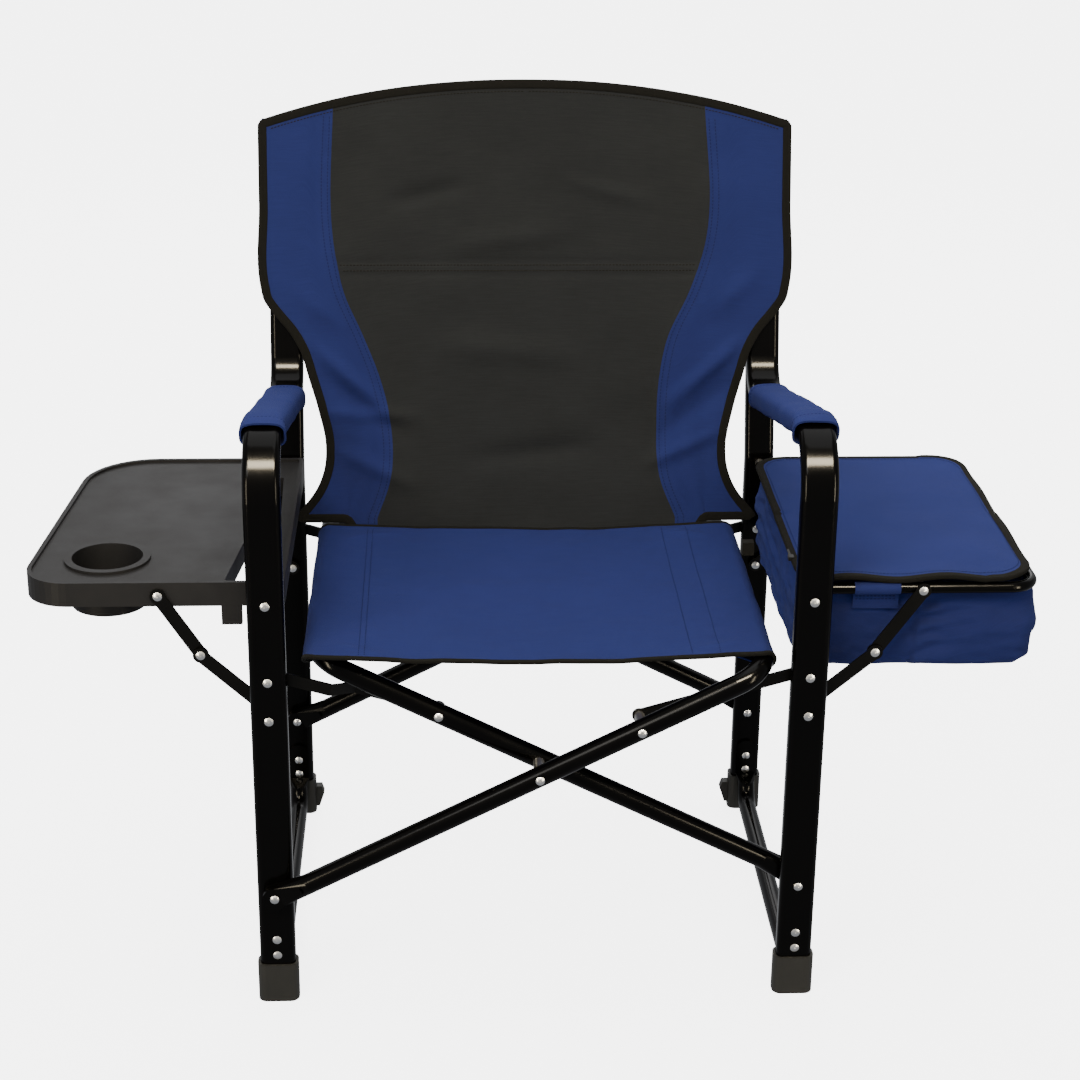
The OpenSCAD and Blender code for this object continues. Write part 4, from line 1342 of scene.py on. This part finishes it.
        inner[:, 2] = 0.4775 + self.lid_height(inner[:, 0], inner[:, 1]) + 0.0003
        inner = np.vstack([inner, inner[:1]])
        seams = stitching("bag_lid_seams", [(inner, np.tile([0.0, 0.0, 1.0], (len(inner), 1)))],
                          f.get(f.blue_thread))
        return [cover, tape, seams]

    def loops(self) -> list[bpy.types.Object]:
        """Builds the cloth loops round the rod, front and rear.

        Returns:
            The loops.
        """
        leg, f, made = self.layout.leg_y, self.finishes, []
        for name, y0, sign in (("front", leg + 0.0384, 1), ("rear", leg + 0.4066, -1)):
            t = np.linspace(math.radians(-40), math.radians(245), 30)
            y = list(y0 - sign * 0.0066 * np.cos(t))
            z = list(self.layout.rod_z + 0.0066 * np.sin(t))
            for k in np.linspace(0.1, 1, 16):
                y.append(y[29] + sign * 0.0025 * k)
                z.append(z[29] - 0.019 * k)
            section = np.stack([y, z], axis=1)
            x = np.linspace(0.327, 0.375, 26)
            grid = np.stack([
                np.broadcast_to(x[None, :], (len(section), 26)),
                np.broadcast_to(section[:, :1], (len(section), 26)),
                np.broadcast_to(section[:, 1:], (len(section), 26))], axis=2)
            if sign > 0:
                grid = grid[:, ::-1]
            loop = shell(f"bag_loop_{name}", grid, 0.0010, [f.get(f.blue)])
            lines = []
            for level in (-0.0065, -0.0100):
                px = np.linspace(0.329, 0.373, 40)
                y_at = float(np.interp(-(self.layout.rod_z + level - 0.0035), -section[30:, 1],
                                       section[30:, 0]))
                face = -sign
                pts = np.stack([px, np.full(40, y_at + face * 0.0008),
                                np.full(40, self.layout.rod_z + level - 0.0035)], axis=1)
                lines.append((pts, np.tile([0.0, float(face), 0.0], (40, 1))))
            seams = stitching(f"bag_loop_seams_{name}", lines, f.get(f.blue_thread))
            for piece in (loop, seams):
                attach(piece, "bag")
            made += [loop, seams]
        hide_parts("bag_loops")
        return made

    def build(self) -> list[bpy.types.Object]:
        """Builds the bag and its lid.

        Returns:
            Their objects.
        """
        skin = self.bag()
        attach(skin, "bag")
        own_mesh(skin)
        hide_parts("bag_body")
        lid = self.lid()
        for piece in lid:
            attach(piece, "bag_lid")
        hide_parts("bag_lid")
        return [skin] + lid + self.loops()


@dataclass
class Studio:
    """Pale floor, soft lights and the camera.

    Attributes:
        layout: The chair's measures.
    """

    layout: Layout

    def floor(self) -> None:
        """Lays a plain pale floor."""
        material, tree, shader = new_material("pale_studio_floor")
        shader.inputs["Base Color"].default_value = (0.95, 0.95, 0.945, 1)
        shader.inputs["Roughness"].default_value = 0.7
        shader.inputs["Specular IOR Level"].default_value = 0.2
        shader.inputs["Emission Color"].default_value = (1, 1, 1, 1)
        shader.inputs["Emission Strength"].default_value = 4.5
        size = 40.0
        mesh = bpy.data.meshes.new("studio_floor")
        mesh.from_pydata([(-size, -size, 0), (size, -size, 0), (size, size, 0), (-size, size, 0)], [],
                         [(0, 1, 2, 3)])
        mesh.materials.append(material)
        obj = bpy.data.objects.new("studio_floor", mesh)
        obj.visible_diffuse = obj.visible_glossy = False
        bpy.context.scene.collection.objects.link(obj)

    def light(self, name: str, at: Sequence[float], towards: Sequence[float], size: tuple[float, float],
              power: float, colour: Sequence[float] = (1, 1, 1), gloss_only: bool = False) -> None:
        """Adds a soft box.

        Args:
            name: Name of the light.
            at: Its place.
            towards: The point it faces.
            size: Its width and height.
            power: Its power in watts.
            colour: Its linear colour.
            gloss_only: True for a reflector that shows in gloss but adds no other light.
        """
        data = bpy.data.lights.new(name, "AREA")
        data.shape = "RECTANGLE"
        data.size, data.size_y = size
        data.energy = power
        data.color = colour
        obj = bpy.data.objects.new(name, data)
        obj.visible_diffuse = not gloss_only
        obj.location = at
        obj.rotation_euler = (Vector(towards) - Vector(at)).to_track_quat("-Z", "Y").to_euler()
        bpy.context.scene.collection.objects.link(obj)

    def build(self) -> None:
        """Builds the floor, lights, world and camera."""
        self.floor()
        self.light("key", (-1.6, -2.6, 2.9), (0, 0, 0.45), (1.6, 1.2), 74, (1, 0.97, 0.93))
        self.light("top", (0.1, 0.3, 3.2), (0, 0, 0.4), (2.4, 2.0), 44)
        self.light("rear", (0.4, 3.0, 2.2), (0, 0, 0.6), (2.6, 1.2), 28)
        self.light("backdrop", (0, 6.5, 4.5), (0, 6.0, 0), (14, 8), 340)
        arms, warm = (0, -0.2, 0.5), (1, 0.86, 0.62)
        self.light("front_reflector", (0, -1.9, 2.6), arms, (1.9, 0.6), 800, warm, gloss_only=True)
        for side in Side:
            at = (1.6 * side.value, -1.8, 0.6)
            self.light(f"{side.word}_reflector", at, (0.28 * side.value, -0.25, 0.35), (0.3, 1.3), 60, warm,
                       gloss_only=True)
        world = bpy.data.worlds.new("studio")
        bpy.context.scene.world = world
        world.use_nodes = True
        back = world.node_tree.nodes.get("Background") or add_node(world.node_tree, "ShaderNodeBackground")
        back.inputs[0].default_value = (0.94, 0.96, 1.0, 1)
        back.inputs[1].default_value = 0.56
        self.camera()

    def camera(self) -> None:
        """Places the camera."""
        data = bpy.data.cameras.new("camera")
        data.lens = 75.44
        data.sensor_width = 36.0
        data.clip_end = 100
        obj = bpy.data.objects.new("camera", data)
        yaw, pitch, roll = (math.radians(a) for a in (-2.70, 21.58, 0.62))
        level = Vector((-math.sin(yaw), math.cos(yaw), 0))
        forward = level * math.cos(pitch) - Vector((0, 0, math.sin(pitch)))
        right0 = Vector((math.cos(yaw), math.sin(yaw), 0))
        up0 = Vector((-math.sin(yaw) * math.sin(pitch), math.cos(yaw) * math.sin(pitch), math.cos(pitch)))
        right = right0 * math.cos(roll) + up0 * math.sin(roll)
        up = -right0 * math.sin(roll) + up0 * math.cos(roll)
        turn = Matrix((right, up, -forward)).transposed().to_4x4()
        obj.matrix_world = Matrix.Translation((-0.1016, -2.1117 + self.layout.leg_y, 1.3714)) @ turn
        bpy.context.scene.collection.objects.link(obj)
        bpy.context.scene.camera = obj


def main() -> None:
    """Builds the chair's looks and the studio."""
    logging.basicConfig(level=logging.INFO, format="%(name)s: %(message)s")
    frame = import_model()
    layout, finishes = Layout.read(), Finishes()
    LOG.info("legs at %.4f, posts at %.4f", layout.leg_y, layout.post_y)
    MetalFrame(frame["nodes"], finishes).build()
    BackCloth(layout, finishes).build()
    SeatCloth(layout, finishes).build()
    for side in Side:
        ArmPad(side, layout, finishes).build()
    CoolerBag(layout, finishes).build()
    Studio(layout).build()


if __name__ == "__main__":
    main()
